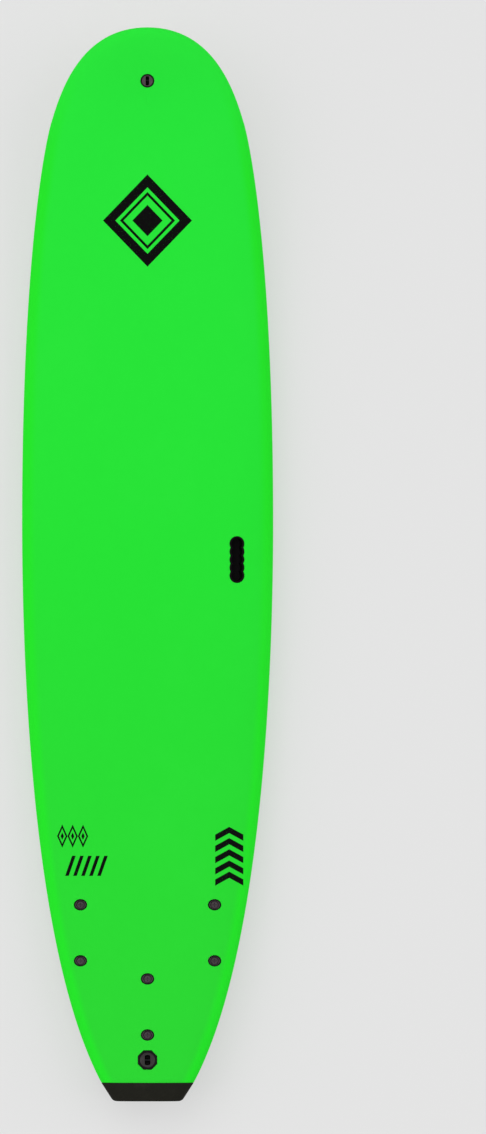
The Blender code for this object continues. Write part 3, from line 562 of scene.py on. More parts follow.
def cut_pin_hole(obj, pin):
    """Cuts the hole that a cup's cross pin lies in."""
    radius, length, drop = pin[:3]
    rod = round_rod("pin_hole", radius + CLEARANCE, length + 2 * CLEARANCE, PIN_HOLE_EDGE)
    cut(obj, placed(rod, lowered(drop)))


def seat_of(node, side=1):
    """Place of a plug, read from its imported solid: origin in the middle of its outer face, +Z up its axis.

    Side is 1 for a face on the deck and -1 for one on the bottom.
    """
    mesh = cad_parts[node].data
    axis = Vector((0, 0, 0))
    for face in mesh.polygons:
        if side * face.normal.z > FACING:
            axis += face.area * face.normal
    axis = (side * axis).normalized()
    along = axis.cross(Vector((1, 0, 0))).normalized()
    across = along.cross(axis)
    points = [vertex.co for vertex in mesh.vertices]

    def middle(way):
        reach = [point.dot(way) for point in points]
        return (min(reach) + max(reach)) / 2

    outer = max(side * point.dot(axis) for point in points) * side
    origin = across * middle(across) + along * middle(along) + axis * outer
    seat = Matrix((across, along, axis)).transposed().to_4x4()
    seat.translation = origin
    return seat


# Shape of the board's outer surface


def bezier(points, share):
    """A point of a cubic curve."""
    rest = 1 - share
    weights = (rest**3, 3 * rest**2 * share, 3 * rest * share**2, share**3)
    return tuple(sum(w * p[i] for w, p in zip(weights, points)) for i in range(2))


def outline_stations():
    """(half width, back) of each station, from the nose tip to the bumper's front face."""
    shoulder = (SHOULDER_HALF_WIDTH, SHOULDER_BACK)
    before_shoulder = (
        shoulder[0] - SHOULDER_FLARE * SHOULDER_HANDLE_NOSE,
        shoulder[1] - SHOULDER_HANDLE_NOSE,
    )
    after_shoulder = (
        shoulder[0] + SHOULDER_FLARE * SHOULDER_HANDLE_TAIL,
        shoulder[1] + SHOULDER_HANDLE_TAIL,
    )
    half = WIDTH / 2
    wide = (half, WIDE_BACK)
    tail = (BUMPER_FRONT_WIDTH / 2, BUMPER_FRONT_BACK)
    before_tail = (tail[0] + TAIL_FLARE * TAIL_HANDLE, tail[1] - TAIL_HANDLE)
    runs = (
        ((0, 0), (NOSE_HANDLE, 0), before_shoulder, shoulder),
        (shoulder, after_shoulder, (half, WIDE_BACK - WIDE_HANDLE_NOSE), wide),
        (wide, (half, WIDE_BACK + WIDE_HANDLE_TAIL), before_tail, tail),
    )
    stations = [(0.0, 0.0)]
    for run, steps in zip(runs, OUTLINE_STEPS):
        stations += [bezier(run, step / steps) for step in range(1, steps + 1)]
    return stations


def rocker(back):
    """Height of the bottom's midline above the floor."""
    flat_end_back = FLAT_START_BACK + FLAT_LENGTH
    if back < FLAT_START_BACK:
        return NOSE_ROCKER * ((FLAT_START_BACK - back) / FLAT_START_BACK) ** NOSE_ROCKER_POWER
    if back > flat_end_back:
        return TAIL_ROCKER * ((back - flat_end_back) / (LENGTH - flat_end_back)) ** TAIL_ROCKER_POWER
    return 0.0


def thickness(back):
    if back < THICKEST_BACK:
        share = (THICKEST_BACK - back) / THICKEST_BACK
        return MIDDLE_THICKNESS - (MIDDLE_THICKNESS - NOSE_THICKNESS) * share**NOSE_TAPER_POWER
    share = (back - THICKEST_BACK) / (LENGTH - THICKEST_BACK)
    return MIDDLE_THICKNESS - (MIDDLE_THICKNESS - TAIL_THICKNESS) * share**TAIL_TAPER_POWER


def apex_height(back):
    """Height of the rail's outermost line above the bottom's midline."""
    return RAIL_APEX_SHARE * thickness(back)


def fan_centre(back):
    """Where a section meets the midline: near the nose the sections fan out from behind."""
    if back >= FAN_END_BACK:
        return back
    return back + NOSE_RADIUS * (1 - back / FAN_END_BACK) ** 2


def dome(share):
    """Rise of the deck's curve, from 0 at the rail to 1 in the middle."""
    return (1 - (1 - share) ** DECK_FULLNESS) ** (1 / DECK_FULLNESS)


def tuck_rise(from_edge, back):
    """How far the bottom curves up to the rail."""
    share = max(0.0, 1 - from_edge / RAIL_TUCK)
    return apex_height(back) * (1 - math.sqrt(1 - share**2))


def bottom_distances(run, inner, outer):
    """How far in from the edge a section's lower points lie, from the inner one out to the outer one."""
    inner = min(inner, run)
    flat = [run + (RAIL_TUCK - run) * share for share in FLAT_SHARES]
    tuck = [RAIL_TUCK + (SEAM_IN - RAIL_TUCK) * step / TUCK_STEPS for step in range(TUCK_STEPS + 1)]
    lip = [SEAM_IN * (1 - step / LIP_STEPS) ** 2 for step in range(1, LIP_STEPS + 1)]
    kept = [distance for distance in flat + tuck + lip if outer < distance < inner]
    return [inner] + kept + [outer]


def section(half_width, back, inner, outer, deck):
    """Points and marks of one station's right half. A mark is (distance in from the edge, back).

    They run along the bottom from one distance in from the edge out to another, and on round the rail and
    over the deck to the middle if deck is asked for.
    """
    middle = fan_centre(back)
    run = math.hypot(half_width, middle - back)
    points, marks = [], []

    def place(from_edge, rise):
        share = from_edge / run
        here = back + (middle - back) * share
        points.append((half_width * (1 - share), LENGTH / 2 - here, rocker(here) + rise))
        marks.append((from_edge, here))

    for from_edge in bottom_distances(run, inner, outer):
        place(from_edge, tuck_rise(from_edge, back))
    if deck:
        for step in range(1, DECK_STEPS + 1):
            turn = math.pi / 2 * (step / DECK_STEPS) ** DECK_STEP_BIAS
            share = 1 - math.cos(turn) ** (2 / DECK_FULLNESS)
            rise = apex_height(back) + (thickness(middle) - apex_height(back)) * dome(share)
            place(share * run, rise)
        points[-1] = (0.0, *points[-1][1:])
    if inner > run:
        points[0] = (0.0, *points[0][1:])
    return points, marks


def skin(name, inner, outer, deck, wall):
    """Both halves of a skin, drawn on the outer surface and then given its thickness inwards."""
    rows = [section(*station, inner, outer, deck) for station in outline_stations()]
    points = np.array([row[0] for row in rows], np.float32)
    marks = np.array([row[1] for row in rows], np.float32)
    points[-1, :, 1] += GAP
    obj = lofted(name, points, marks)
    mirror_over(obj)
    close_up(obj, ends=False)
    face_out(obj, 1 if deck else -1)
    apply_modifier(obj, "SOLIDIFY", "wall", thickness=wall, offset=-1)
    apply_modifier(obj, "TRIANGULATE", "flat_faces")
    return obj


def face_out(obj, side):
    """Turns an open skin so that it faces up (side 1) or down (side -1) in its middle."""
    middle = min(obj.data.polygons, key=lambda face: face.center.x**2 + face.center.y**2)
    if middle.normal.z * side < 0:
        obj.data.flip_normals()


# The board's pieces


def round_outline(radius, share=1.0):
    """Outline of a round or oval hole: a call that gives its points, grown outwards by a distance."""

    def points(growth):
        turns = [2 * math.pi * side / ROUND_SIDES for side in range(ROUND_SIDES)]
        across, along = radius + growth, radius * share + growth
        return [(across * math.cos(turn), along * math.sin(turn)) for turn in turns]

    return points


def octagon_outline(flats):
    """The same for an octagon, with points along its sides so that a lip can follow a curved surface."""

    def points(growth):
        radius = (flats / 2 + growth) / math.cos(math.pi / 8)
        turns = [(side + 0.5) * math.pi / 4 for side in range(8)]
        corners = [Vector((radius * math.cos(turn), radius * math.sin(turn))) for turn in turns]
        sides = zip(corners, corners[1:] + corners[:1])
        shares = [step / OCTAGON_SIDE_STEPS for step in range(OCTAGON_SIDE_STEPS)]
        return [tuple(start.lerp(end, share)) for start, end in sides for share in shares]

    return points


def grip_outline(growth):
    room = GRIP_LOBE_RADIUS + CLEARANCE
    return [point[:2] for point in lobe_points(room + growth, 0)[:-1]]


def foam_hole(foam, node, outline):
    """A shape that opens the deck foam over a packed plug and rounds the hole's lip.

    The foam rises and falls round a hole, so the lip is laid out from the foam's own surface.
    """
    seat = seat_of(node)
    into_seat = seat.inverted()
    down = seat.to_3x3() @ Vector((0, 0, -1))

    def surface(x, y):
        spot = foam.ray_cast(seat @ Vector((x, y, FOAM_HOLE_REACH)), down)[1]
        return (into_seat @ spot).z

    rows = [[(x, y, FOAM_HOLE_REACH) for x, y in outline(FOAM_LIP[0][0])]]
    for growth, rise in FOAM_LIP:
        rows.append([(x, y, surface(x, y) + rise) for x, y in outline(growth)])
    rows.append([(x, y, -FOAM_HOLE_REACH) for x, y in outline(0)])
    return placed(closed_loft("foam_hole", [row + row[:1] for row in rows]), seat)


def slick_hole(node, radius, share=1.0):
    """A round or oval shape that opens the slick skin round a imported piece."""
    room = radius + CLEARANCE
    hole = turned("slick_hole", [(room, SLICK_HOLE_REACH), (room, -SLICK_HOLE_REACH)])
    for vertex in hole.data.vertices:
        vertex.co.y *= share
    return placed(hole, seat_of(node, -1))


def open_skin(obj, holes):
    """Takes all holes out of a skin at once. They stand apart from each other."""
    deselect()
    for hole in holes:
        hole.select_set(True)
    bpy.context.view_layer.objects.active = holes[0]
    bpy.ops.object.join()
    cut(obj, bpy.context.object)


def fin_places():
    return [f"{fin}_{end}" for fin in ("left", "right", "centre") for end in ("front", "rear")]


def make_deck_skin(finish):
    obj = skin("deck_foam_skin", inner=SEAM_IN, outer=0.0, deck=True, wall=DECK_FOAM)
    ease(obj, SOFT_EDGE)
    oval = round_outline(CUP_FLANGE_RADIUS + CLEARANCE, OVAL_SHARE)
    outlines = {"fin_cup_" + place: oval for place in fin_places()}
    outlines["leash_cup"] = octagon_outline(LEASH_FLATS + 2 * CLEARANCE)
    outlines["nose_plug_cup"] = round_outline(NOSE_FLANGE_RADIUS + CLEARANCE)
    outlines["hand_grip"] = grip_outline
    open_skin(obj, [foam_hole(obj, node, outline) for node, outline in outlines.items()])
    finished(obj, finish, "deck_foam_green", "deck_skin")


def make_slick_skin(finish):
    obj = skin("slick_bottom_skin", inner=math.inf, outer=SEAM_IN + GAP, deck=False, wall=SLICK)
    holes = [slick_hole("fin_sleeve_" + place, SLEEVE_FLANGE_RADIUS, OVAL_SHARE) for place in fin_places()]
    open_skin(obj, holes + [slick_hole("leash_base", LEASH_BASE_RADIUS)])
    finished(obj, finish, "slick_clear", "slick_skin")


def bumper_half_width(back):
    front, end = BUMPER_FRONT_WIDTH / 2, BUMPER_END_WIDTH / 2
    lean = math.atan2(front - end, BUMPER_LENGTH)
    corner_reach = BUMPER_CORNER * math.tan((math.pi / 2 - lean) / 2)
    if back <= LENGTH - corner_reach * math.cos(lean):
        return front - (back - BUMPER_FRONT_BACK) * math.tan(lean)
    past_centre = back - (LENGTH - BUMPER_CORNER)
    return end - corner_reach + math.sqrt(max(0.0, BUMPER_CORNER**2 - past_centre**2))


def make_bumper(finish):
    """The rubber block that closes the square tail, with its end drawn in to a rounded edge."""
    straight = LENGTH - BUMPER_CORNER - BUMPER_FRONT_BACK
    shares = [step / BUMPER_STRAIGHT_STEPS for step in range(BUMPER_STRAIGHT_STEPS)]
    turns = [math.pi / 2 * step / BUMPER_CORNER_STEPS for step in range(BUMPER_CORNER_STEPS + 1)]
    backs = [BUMPER_FRONT_BACK + straight * share for share in shares]
    backs += [LENGTH - BUMPER_CORNER * (1 - math.sin(turn)) for turn in turns]
    rows = []
    for back in backs:
        near_end = max(0.0, BUMPER_EDGE - (LENGTH - back))
        pinch = BUMPER_EDGE - math.sqrt(BUMPER_EDGE**2 - near_end**2)
        points = np.array(section(bumper_half_width(back), back, math.inf, 0.0, True)[0])
        middle = rocker(back) + thickness(back) / 2
        points[:, 2] = middle + (points[:, 2] - middle) * (1 - 2 * pinch / thickness(back))
        rows.append(points)
    obj = lofted("rubber_tail_bumper", np.array(rows, np.float32))
    mirror_over(obj)
    close_up(obj)
    ease(obj, SOFT_EDGE)
    finished(obj, finish, "bumper_black", "tail_bumper")


def make_fin_cup():
    """Deck cup of a fin plug: a rounded oval rim, a collar a step lower and a seat for the screw's head."""
    mouth = SCREW_HEAD_RADIUS + CLEARANCE
    hole = SCREW_RADIUS + CLEARANCE
    bottom = -CUP_DEPTH - CUP_FLOOR
    inset, drop = CUP_MOUTH_CHAMFER
    profile = [
        (mouth + inset, -COLLAR_STEP),
        (CUP_COLLAR_RADIUS, -COLLAR_STEP),
        (CUP_COLLAR_RADIUS + COLLAR_LEAN, 0),
        *rim_points(CUP_FLANGE_RADIUS, CUP_RIM),
        (CUP_FLANGE_RADIUS, -CUP_FLANGE),
        (CUP_RADIUS, -CUP_FLANGE),
        (CUP_RADIUS, bottom),
        (hole, bottom),
        (hole, -CUP_DEPTH),
        (mouth, -CUP_DEPTH),
        (mouth, -COLLAR_STEP - drop),
        (mouth + inset, -COLLAR_STEP),
    ]
    return drawn_oval(turned("fin_plug_cup", profile), CUP_RADIUS)


def make_fin_screw():
    """Fin screw with a low domed head, a cross recess and a threaded shank."""
    thread = []
    for turn in range(THREAD_TURNS):
        root = -THREAD_START - turn * THREAD_PITCH
        thread.append((THREAD_ROOT_RADIUS, root))
        thread += [(SCREW_RADIUS, root - share * THREAD_PITCH) for share in THREAD_CREST]
    neck = [(SCREW_HEAD_RADIUS, 0), (SCREW_RADIUS, 0)]
    obj = turned("fin_plug_screw", [*SCREW_DOME, *neck, *thread, *SCREW_TIP])
    width, length, depth, corner = SCREW_CROSS
    for arm in ((width, length), (length, width)):
        cut_recess(obj, (*arm, depth, corner), SCREW_HEAD, segments=3)
    return obj


def make_fin_plugs(plastic, screw_plastic):
    """Six sleeves, cups and screws, each piece with its own mesh."""
    cup, screw = make_fin_cup(), make_fin_screw()
    for place in fin_places():
        seat = seat_of("fin_cup_" + place)
        one_cup = placed(twin(cup, "deck_cup_" + place), seat)
        finished(one_cup, plastic, "plug_black", "fin_cup_" + place)
        inlay(one_cup, screw_plastic, seat, CUP_COLLAR_RADIUS)
        head_seat = seat_of("fin_screw_" + place) @ lowered(SCREW_HEAD)
        one_screw = placed(twin(screw, "cross_screw_" + place), head_seat)
        finished(one_screw, screw_plastic, "screw_grey", "fin_screw_" + place)
        make_fin_sleeve(place, plastic)
    for pattern in (cup, screw):
        bpy.data.objects.remove(pattern)


def make_fin_sleeve(place, finish):
    """Bottom sleeve of a fin plug, with a rounded oval rim and a chamfered bore."""
    node = "fin_sleeve_" + place
    seat = seat_of(node, -1)
    into_seat = seat.inverted()
    length = max((into_seat @ vertex.co).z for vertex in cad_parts[node].data.vertices)
    profile = [
        (POST_BORE_RADIUS, length),
        (SLEEVE_RADIUS, length),
        (SLEEVE_RADIUS, SLEEVE_FLANGE),
        (SLEEVE_FLANGE_RADIUS, SLEEVE_FLANGE),
        *reversed(rim_points(SLEEVE_FLANGE_RADIUS, SLEEVE_RIM, 1)),
        (POST_BORE_RADIUS + POST_BORE_CHAMFER, 0),
        (POST_BORE_RADIUS, POST_BORE_CHAMFER),
        (POST_BORE_RADIUS, length),
    ]
    obj = placed(drawn_oval(turned("post_sleeve_" + place, profile), SLEEVE_RADIUS), seat)
    finished(obj, finish, "plug_black", node)


def make_pin(name, node, pin, seat, steel):
    """A plug's steel pin, which lies across its slot."""
    radius, length, drop, edge = pin
    obj = placed(round_rod(name, radius, length, edge), seat @ lowered(drop))
    finished(obj, steel, "pin_steel", node)


def octagon(name, flats, depth):
    """An eight-sided plate below its face, with its flats across and along the board."""
    deselect()
    bpy.ops.mesh.primitive_cylinder_add(
        vertices=8,
        radius=flats / 2 / math.cos(math.pi / 8),
        depth=depth,
        location=(0, 0, -depth / 2),
        rotation=(0, 0, math.pi / 8),
    )
    obj = named(name)
    bpy.ops.object.transform_apply(location=True, rotation=True)
    return obj


def make_leash_cup(plastic, dish_plastic, seat):
    """Octagonal cup with a dish and a slot, on a body that narrows to a stem."""
    cup = octagon("octagonal_leash_cup", LEASH_FLATS, LEASH_FLANGE)
    ease(cup, LEASH_EDGE, segments=3)
    body_profile = [
        (LEASH_BODY_RADIUS, -LEASH_FLANGE / 2),
        (LEASH_BODY_RADIUS, -LEASH_BODY_DEPTH),
        (LEASH_STEM_RADIUS, -LEASH_BODY_DEPTH),
        (LEASH_STEM_RADIUS, -LEASH_BODY_DEPTH - LEASH_STEM_LENGTH),
    ]
    combine(cup, turned("body", body_profile), "UNION")
    cut(cup, turned("dish", LEASH_DISH))
    cut_recess(cup, LEASH_SLOT)
    cut_pin_hole(cup, LEASH_PIN)
    placed(cup, seat)
    finished(cup, plastic, "plug_black", "leash_cup")
    # The dish's darker grey is partly painted shade of the recess
    inlay(cup, dish_plastic, seat, LEASH_DISH_RADIUS)


def make_leash_base(plastic, cup_seat):
    """Disc on the bottom, with a shallow groove and a tube that takes the cup's stem."""
    seat = seat_of("leash_base", -1)
    top = (seat.inverted() @ cup_seat.translation).z - LEASH_BODY_DEPTH - CLEARANCE
    tube_inner = LEASH_STEM_RADIUS + CLEARANCE
    tube_outer = tube_inner + LEASH_TUBE_WALL
    profile = [
        (tube_inner, top - LEASH_STEM_LENGTH),
        (tube_inner, top),
        (tube_outer, top),
        (tube_outer, LEASH_BASE),
        (LEASH_BASE_RADIUS, LEASH_BASE),
        *reversed(rim_points(LEASH_BASE_RADIUS, LEASH_BASE_RIM, 1)),
        *LEASH_BASE_GROOVE,
    ]
    finished(placed(turned("leash_base_disc", profile), seat), plastic, "plug_black", "leash_base")


def make_leash_plug(plastic, dish_plastic, steel):
    seat = seat_of("leash_cup")
    make_leash_cup(plastic, dish_plastic, seat)
    make_pin("leash_cross_pin", "leash_pin", LEASH_PIN, seat, steel)
    make_leash_base(plastic, seat)


def make_nose_plug(plastic, dish_plastic, steel):
    """Round cup near the nose with an upright slot and a pin across it."""
    seat = seat_of("nose_plug_cup")
    profile = [
        *rim_points(NOSE_FLANGE_RADIUS, NOSE_RIM),
        (NOSE_FLANGE_RADIUS, -NOSE_FLANGE),
        (NOSE_BODY_RADIUS, -NOSE_FLANGE),
        (NOSE_BODY_RADIUS, -NOSE_BODY_DEPTH),
    ]
    cup = turned("round_nose_cup", profile)
    cut_recess(cup, NOSE_SLOT)
    cut_pin_hole(cup, NOSE_PIN)
    placed(cup, seat)
    finished(cup, plastic, "plug_black", "nose_plug_cup")
    inlay(cup, dish_plastic, seat, NOSE_DISH_REACH)
    make_pin("nose_cross_pin", "nose_plug_pin", NOSE_PIN, seat, steel)


def lobe_points(radius, height):
    """Outline of the row of overlapping lobes, anticlockwise from the right of the rearmost gap."""
    bite = math.asin(GRIP_LOBE_SPACING / 2 / radius)
    centres = [(lobe - (GRIP_LOBES - 1) / 2) * GRIP_LOBE_SPACING for lobe in range(GRIP_LOBES)]
    points = []

    def add_arc(centre, start, end, count):
        for step in range(count):
            angle = start + (end - start) * step / count
            points.append((radius * math.cos(angle), centre + radius * math.sin(angle), height))

    for centre in centres[1:-1]:
        add_arc(centre, -bite, bite, GRIP_LOBE_STEPS)
    add_arc(centres[-1], -bite, math.pi + bite, 3 * GRIP_LOBE_STEPS)
    for centre in reversed(centres[1:-1]):
        add_arc(centre, math.pi - bite, math.pi + bite, GRIP_LOBE_STEPS)
    add_arc(centres[0], math.pi - bite, 2 * math.pi + bite, 3 * GRIP_LOBE_STEPS)
    return points + points[:1]


def make_hand_grip(finish):
    """The moulded pocket for the fingers, with a rounded lip and shallow ribs inside."""
    body = GRIP_LOBE_RADIUS - GRIP_LIP
    pocket = body - GRIP_WALL
    floor = -GRIP_DEPTH + GRIP_FLOOR
    rib_reach, rib_half = GRIP_RIB
    levels = [(pocket - inset, floor + rise) for inset, rise in GRIP_FLOOR_CORNER]
    for rib in GRIP_RIB_HEIGHTS:
        levels += [(pocket, rib - rib_half), (pocket - rib_reach, rib), (pocket, rib + rib_half)]
    levels += [
        *[(pocket + spread, -drop) for spread, drop in GRIP_MOUTH],
        *rim_points(GRIP_LOBE_RADIUS, GRIP_RIM),
        (GRIP_LOBE_RADIUS, -GRIP_FLANGE),
        (body, -GRIP_FLANGE),
        (body, -GRIP_DEPTH),
    ]
    rows = [lobe_points(radius, height) for radius, height in levels]
    obj = placed(closed_loft("lobed_finger_grip", rows), seat_of("hand_grip"))
    finished(obj, finish, "grip_black", "hand_grip")


# Finishes


class Nodes:
    """Short calls that add nodes to one tree. A value is a socket, a number or a colour."""

    def __init__(self, tree):
        self.tree = tree

    def put(self, socket, value):
        if isinstance(value, bpy.types.NodeSocket):
            self.tree.links.new(value, socket)
        else:
            socket.default_value = value

    def add(self, kind, values=None, **settings):
        node = self.tree.nodes.new("ShaderNode" + kind)
        for key, value in settings.items():
            setattr(node, key, value)
        for key, value in (values or {}).items():
            self.put(node.inputs[key], value)
        return node

    def math(self, operation, *values):
        node = self.add("Math", operation=operation)
        for socket, value in zip(node.inputs, values):
            self.put(socket, value)
        return node.outputs[0]

    def chain(self, operation, values):
        result = values[0]
        for value in values[1:]:
            result = self.math(operation, result, value)
        return result

    def plus(self, *values):
        return self.chain("ADD", values)

    def minus(self, first, second):
        return self.math("SUBTRACT", first, second)

    def times(self, *values):
        return self.chain("MULTIPLY", values)

    def over(self, first, second):
        return self.math("DIVIDE", first, second)

    def size(self, value):
        """A value without its sign."""
        return self.math("ABSOLUTE", value)

    def distance(self, x, y):
        """How far (x, y) lies from the middle of its coordinates."""
        return self.math("SQRT", self.plus(self.times(x, x), self.times(y, y)))

    def repeat(self, value, pitch):
        """A value's share of the way through each repeat of a pitch."""
        return self.math("FRACT", self.over(value, pitch))

    def below(self, value, limit):
        return self.math("LESS_THAN", value, limit)

    def between(self, value, low, high):
        return self.all_of(self.below(low, value), self.below(value, high))

    def all_of(self, *masks):
        return self.chain("MULTIPLY", masks)

    def any_of(self, *masks):
        return self.chain("MAXIMUM", masks)

    def scale(self, value, low, high, new_low=0.0, new_high=1.0):
        """A value's place between two bounds, eased and kept inside them."""
        node = self.add("MapRange", interpolation_type="SMOOTHSTEP")
        for place, number in enumerate((value, low, high, new_low, new_high)):
            self.put(node.inputs[place], number)
        return node.outputs[0]

    def mix(self, share, first, second):
        """Mixes two colours, whose sockets are inputs 6 and 7 and output 2 of the node."""
        node = self.add("Mix", {0: share, 6: first, 7: second}, data_type="RGBA")
        return node.outputs[2]

    def tint(self, colour, ink, mask, share):
        """Lays a share of an ink over a colour where a mask is 1."""
        return self.mix(self.times(mask, share), colour, ink)

    def ramp(self, value, stops):
        node = self.add("ValToRGB", {"Fac": value})
        elements = node.color_ramp.elements
        for place, (position, colour) in enumerate(stops):
            element = elements[place] if place < 2 else elements.new(position)
            element.position = position
            element.color = colour
        return node.outputs["Color"]

    def pitch(self, size):
        """The scale of a texture whose lumps are about this size."""
        return self.over(1.0, size) if isinstance(size, bpy.types.NodeSocket) else 1 / size

    def noise(self, vector, size, detail=3.0, roughness=0.55, stretch=None):
        if stretch:
            vector = self.add("VectorMath", {0: vector, 1: stretch}, operation="MULTIPLY").outputs[0]
        values = {"Vector": vector, "Scale": self.pitch(size), "Detail": detail, "Roughness": roughness}
        return self.add("TexNoise", values).outputs["Fac"]

    def cells(self, vector, size, feature):
        values = {"Vector": vector, "Scale": self.pitch(size)}
        return self.add("TexVoronoi", values, feature=feature).outputs["Distance"]

    def group(self, tree, vector, **values):
        return self.add("Group", {"Vector": vector, **values}, node_tree=tree).outputs

    def split(self, vector):
        """The first two parts of a vector."""
        parts = self.add("SeparateXYZ", {0: vector}).outputs
        return parts[0], parts[1]


def new_group(name, values, outputs, kind="Float"):
    """An empty shader node group that takes a vector and values, and its nodes, inputs and outputs."""
    tree = bpy.data.node_groups.new(name, "ShaderNodeTree")
    tree.interface.new_socket("Vector", in_out="INPUT", socket_type="NodeSocketVector")
    for label, value in values.items():
        socket = tree.interface.new_socket(label, in_out="INPUT", socket_type="NodeSocketFloat")
        socket.default_value = value
    for label in outputs:
        tree.interface.new_socket(label, in_out="OUTPUT", socket_type="NodeSocket" + kind)
    entry = tree.nodes.new("NodeGroupInput")
    leave = tree.nodes.new("NodeGroupOutput")
    return Nodes(tree), entry.outputs, leave.inputs


def moulded_grain_group():
    """Fine pebbled grain of moulded plastic and rubber: a height for bump and a tone for colour."""
    n, given, result = new_group("moulded_grain", {"Size": 0.0008}, ("Height", "Tone"))
    pebbles = n.cells(given["Vector"], given["Size"], "SMOOTH_F1")
    speckle = n.noise(given["Vector"], n.times(given["Size"], 2.0), detail=4.0, roughness=0.5)
    n.put(result["Height"], n.times(pebbles, speckle))
    n.put(result["Tone"], speckle)
    return n.tree


def handling_group():
    """Marks of handling: soft dull patches and fine scratches that run mostly along the board."""
    n, given, result = new_group("handling_marks", {"Patch": 0.12}, ("Patches", "Scratches"))
    spot = given["Vector"]
    patches = n.noise(spot, given["Patch"], detail=5.0, roughness=0.6)
    fine = n.noise(spot, 0.0012, detail=2.0, roughness=0.5, stretch=(1.0, 0.02, 1.0))
    crossing = n.noise(spot, 0.0016, detail=2.0, roughness=0.5, stretch=(0.7, 0.05, 1.0))
    n.put(result["Patches"], n.scale(patches, 0.50, 0.72))
    n.put(result["Scratches"], n.any_of(n.scale(fine, 0.68, 0.76), n.scale(crossing, 0.70, 0.78)))
    return n.tree


def closed_cell_group():
    """Closed-cell foam: rounded cells with thin walls, and a slow unevenness."""
    n, given, result = new_group("closed_cells", {"Size": 0.0012}, ("Height", "Tone"))
    wall = n.cells(given["Vector"], given["Size"], "DISTANCE_TO_EDGE")
    bubble = n.scale(wall, 0.0, 0.35)
    slow = n.noise(given["Vector"], n.over(given["Size"], 0.12), roughness=0.5)
    n.put(result["Height"], n.plus(bubble, n.times(slow, 1.5)))
    n.put(result["Tone"], n.times(slow, bubble))
    return n.tree


def new_finish(name, shine=0.5, **constants):
    """A material with its Principled BSDF, and its nodes and Object coordinates."""
    made = bpy.data.materials.new(name)
    made.use_nodes = True
    shader = made.node_tree.nodes["Principled BSDF"]
    shader.inputs["Specular IOR Level"].default_value = shine
    for key, value in constants.items():
        shader.inputs[key.replace("_", " ")].default_value = value
    n = Nodes(made.node_tree)
    return made, shader, n, n.add("TexCoord").outputs["Object"]


def surface(n, shader, colour, roughness, height, depth, strength=1.0):
    """Feeds a finish's colour, roughness and bump."""
    bump = n.add("Bump", {"Height": height, "Distance": depth, "Strength": strength})
    for key, value in {"Base Color": colour, "Roughness": roughness, "Normal": bump.outputs[0]}.items():
        n.put(shader.inputs[key], value)


def skin_marks(n):
    """Distance in from the board's edge and back from its nose, as kept in a skin's UV map."""
    return n.split(n.add("TexCoord").outputs["UV"])


def from_nose(n, y):
    """Share of the board's length back from the nose."""
    return n.over(n.minus(LENGTH / 2, y), LENGTH)


def centred(n, x, y, middle):
    """Coordinates measured from the middle of a motif."""
    return n.minus(x, middle[0]), n.minus(y, middle[1])


def diamond_share(n, x, y, width, length):
    """0 in the middle of a diamond and 1 on its edge."""
    return n.plus(n.over(n.size(x), width / 2), n.over(n.size(y), length / 2))


def nested_diamonds(n, x, y, place):
    """A bold diamond ring, a thin one and a solid core."""
    middle, (width, length) = place
    share = diamond_share(n, *centred(n, x, y, middle), width, length)
    return n.any_of(n.between(share, 0.72, 1.0), n.between(share, 0.54, 0.62), n.below(share, 0.34))


def chevrons(n, x, y, place, count, slope, fill):
    """A stack of chevrons that point to the nose."""
    middle, (width, length) = place
    x, y = centred(n, x, y, middle)
    drop = slope * width / 2
    risen = n.plus(y, n.times(n.size(x), slope), length / 2 - drop)
    pitch = (length - drop) / (count - 1 + fill)
    stripe = n.below(n.repeat(risen, pitch), fill)
    return n.all_of(stripe, n.below(n.size(x), width / 2), n.between(risen, 0.0, length - drop))


def slant_bars(n, x, y, place, count, lean, fill):
    """A row of leaning bars."""
    middle, (width, length) = place
    x, y = centred(n, x, y, middle)
    slide = lean * length / 2
    moved = n.plus(n.minus(x, n.times(y, lean)), width / 2 - slide)
    pitch = (width - 2 * slide) / (count - 1 + fill)
    stripe = n.below(n.repeat(moved, pitch), fill)
    return n.all_of(stripe, n.below(n.size(y), length / 2), n.between(moved, 0.0, width - 2 * slide))


def diamond_row(n, x, y, place, count):
    """A row of small diamond rings with solid cores."""
    middle, (width, length) = place
    x, y = centred(n, x, y, middle)
    pitch = width / count
    inside = n.below(n.size(x), width / 2)
    local = n.minus(n.math("PINGPONG", n.plus(x, width / 2), pitch / 2), pitch / 2)
    share = diamond_share(n, local, y, pitch, length)
    return n.all_of(inside, n.any_of(n.between(share, 0.66, 1.0), n.below(share, 0.32)))


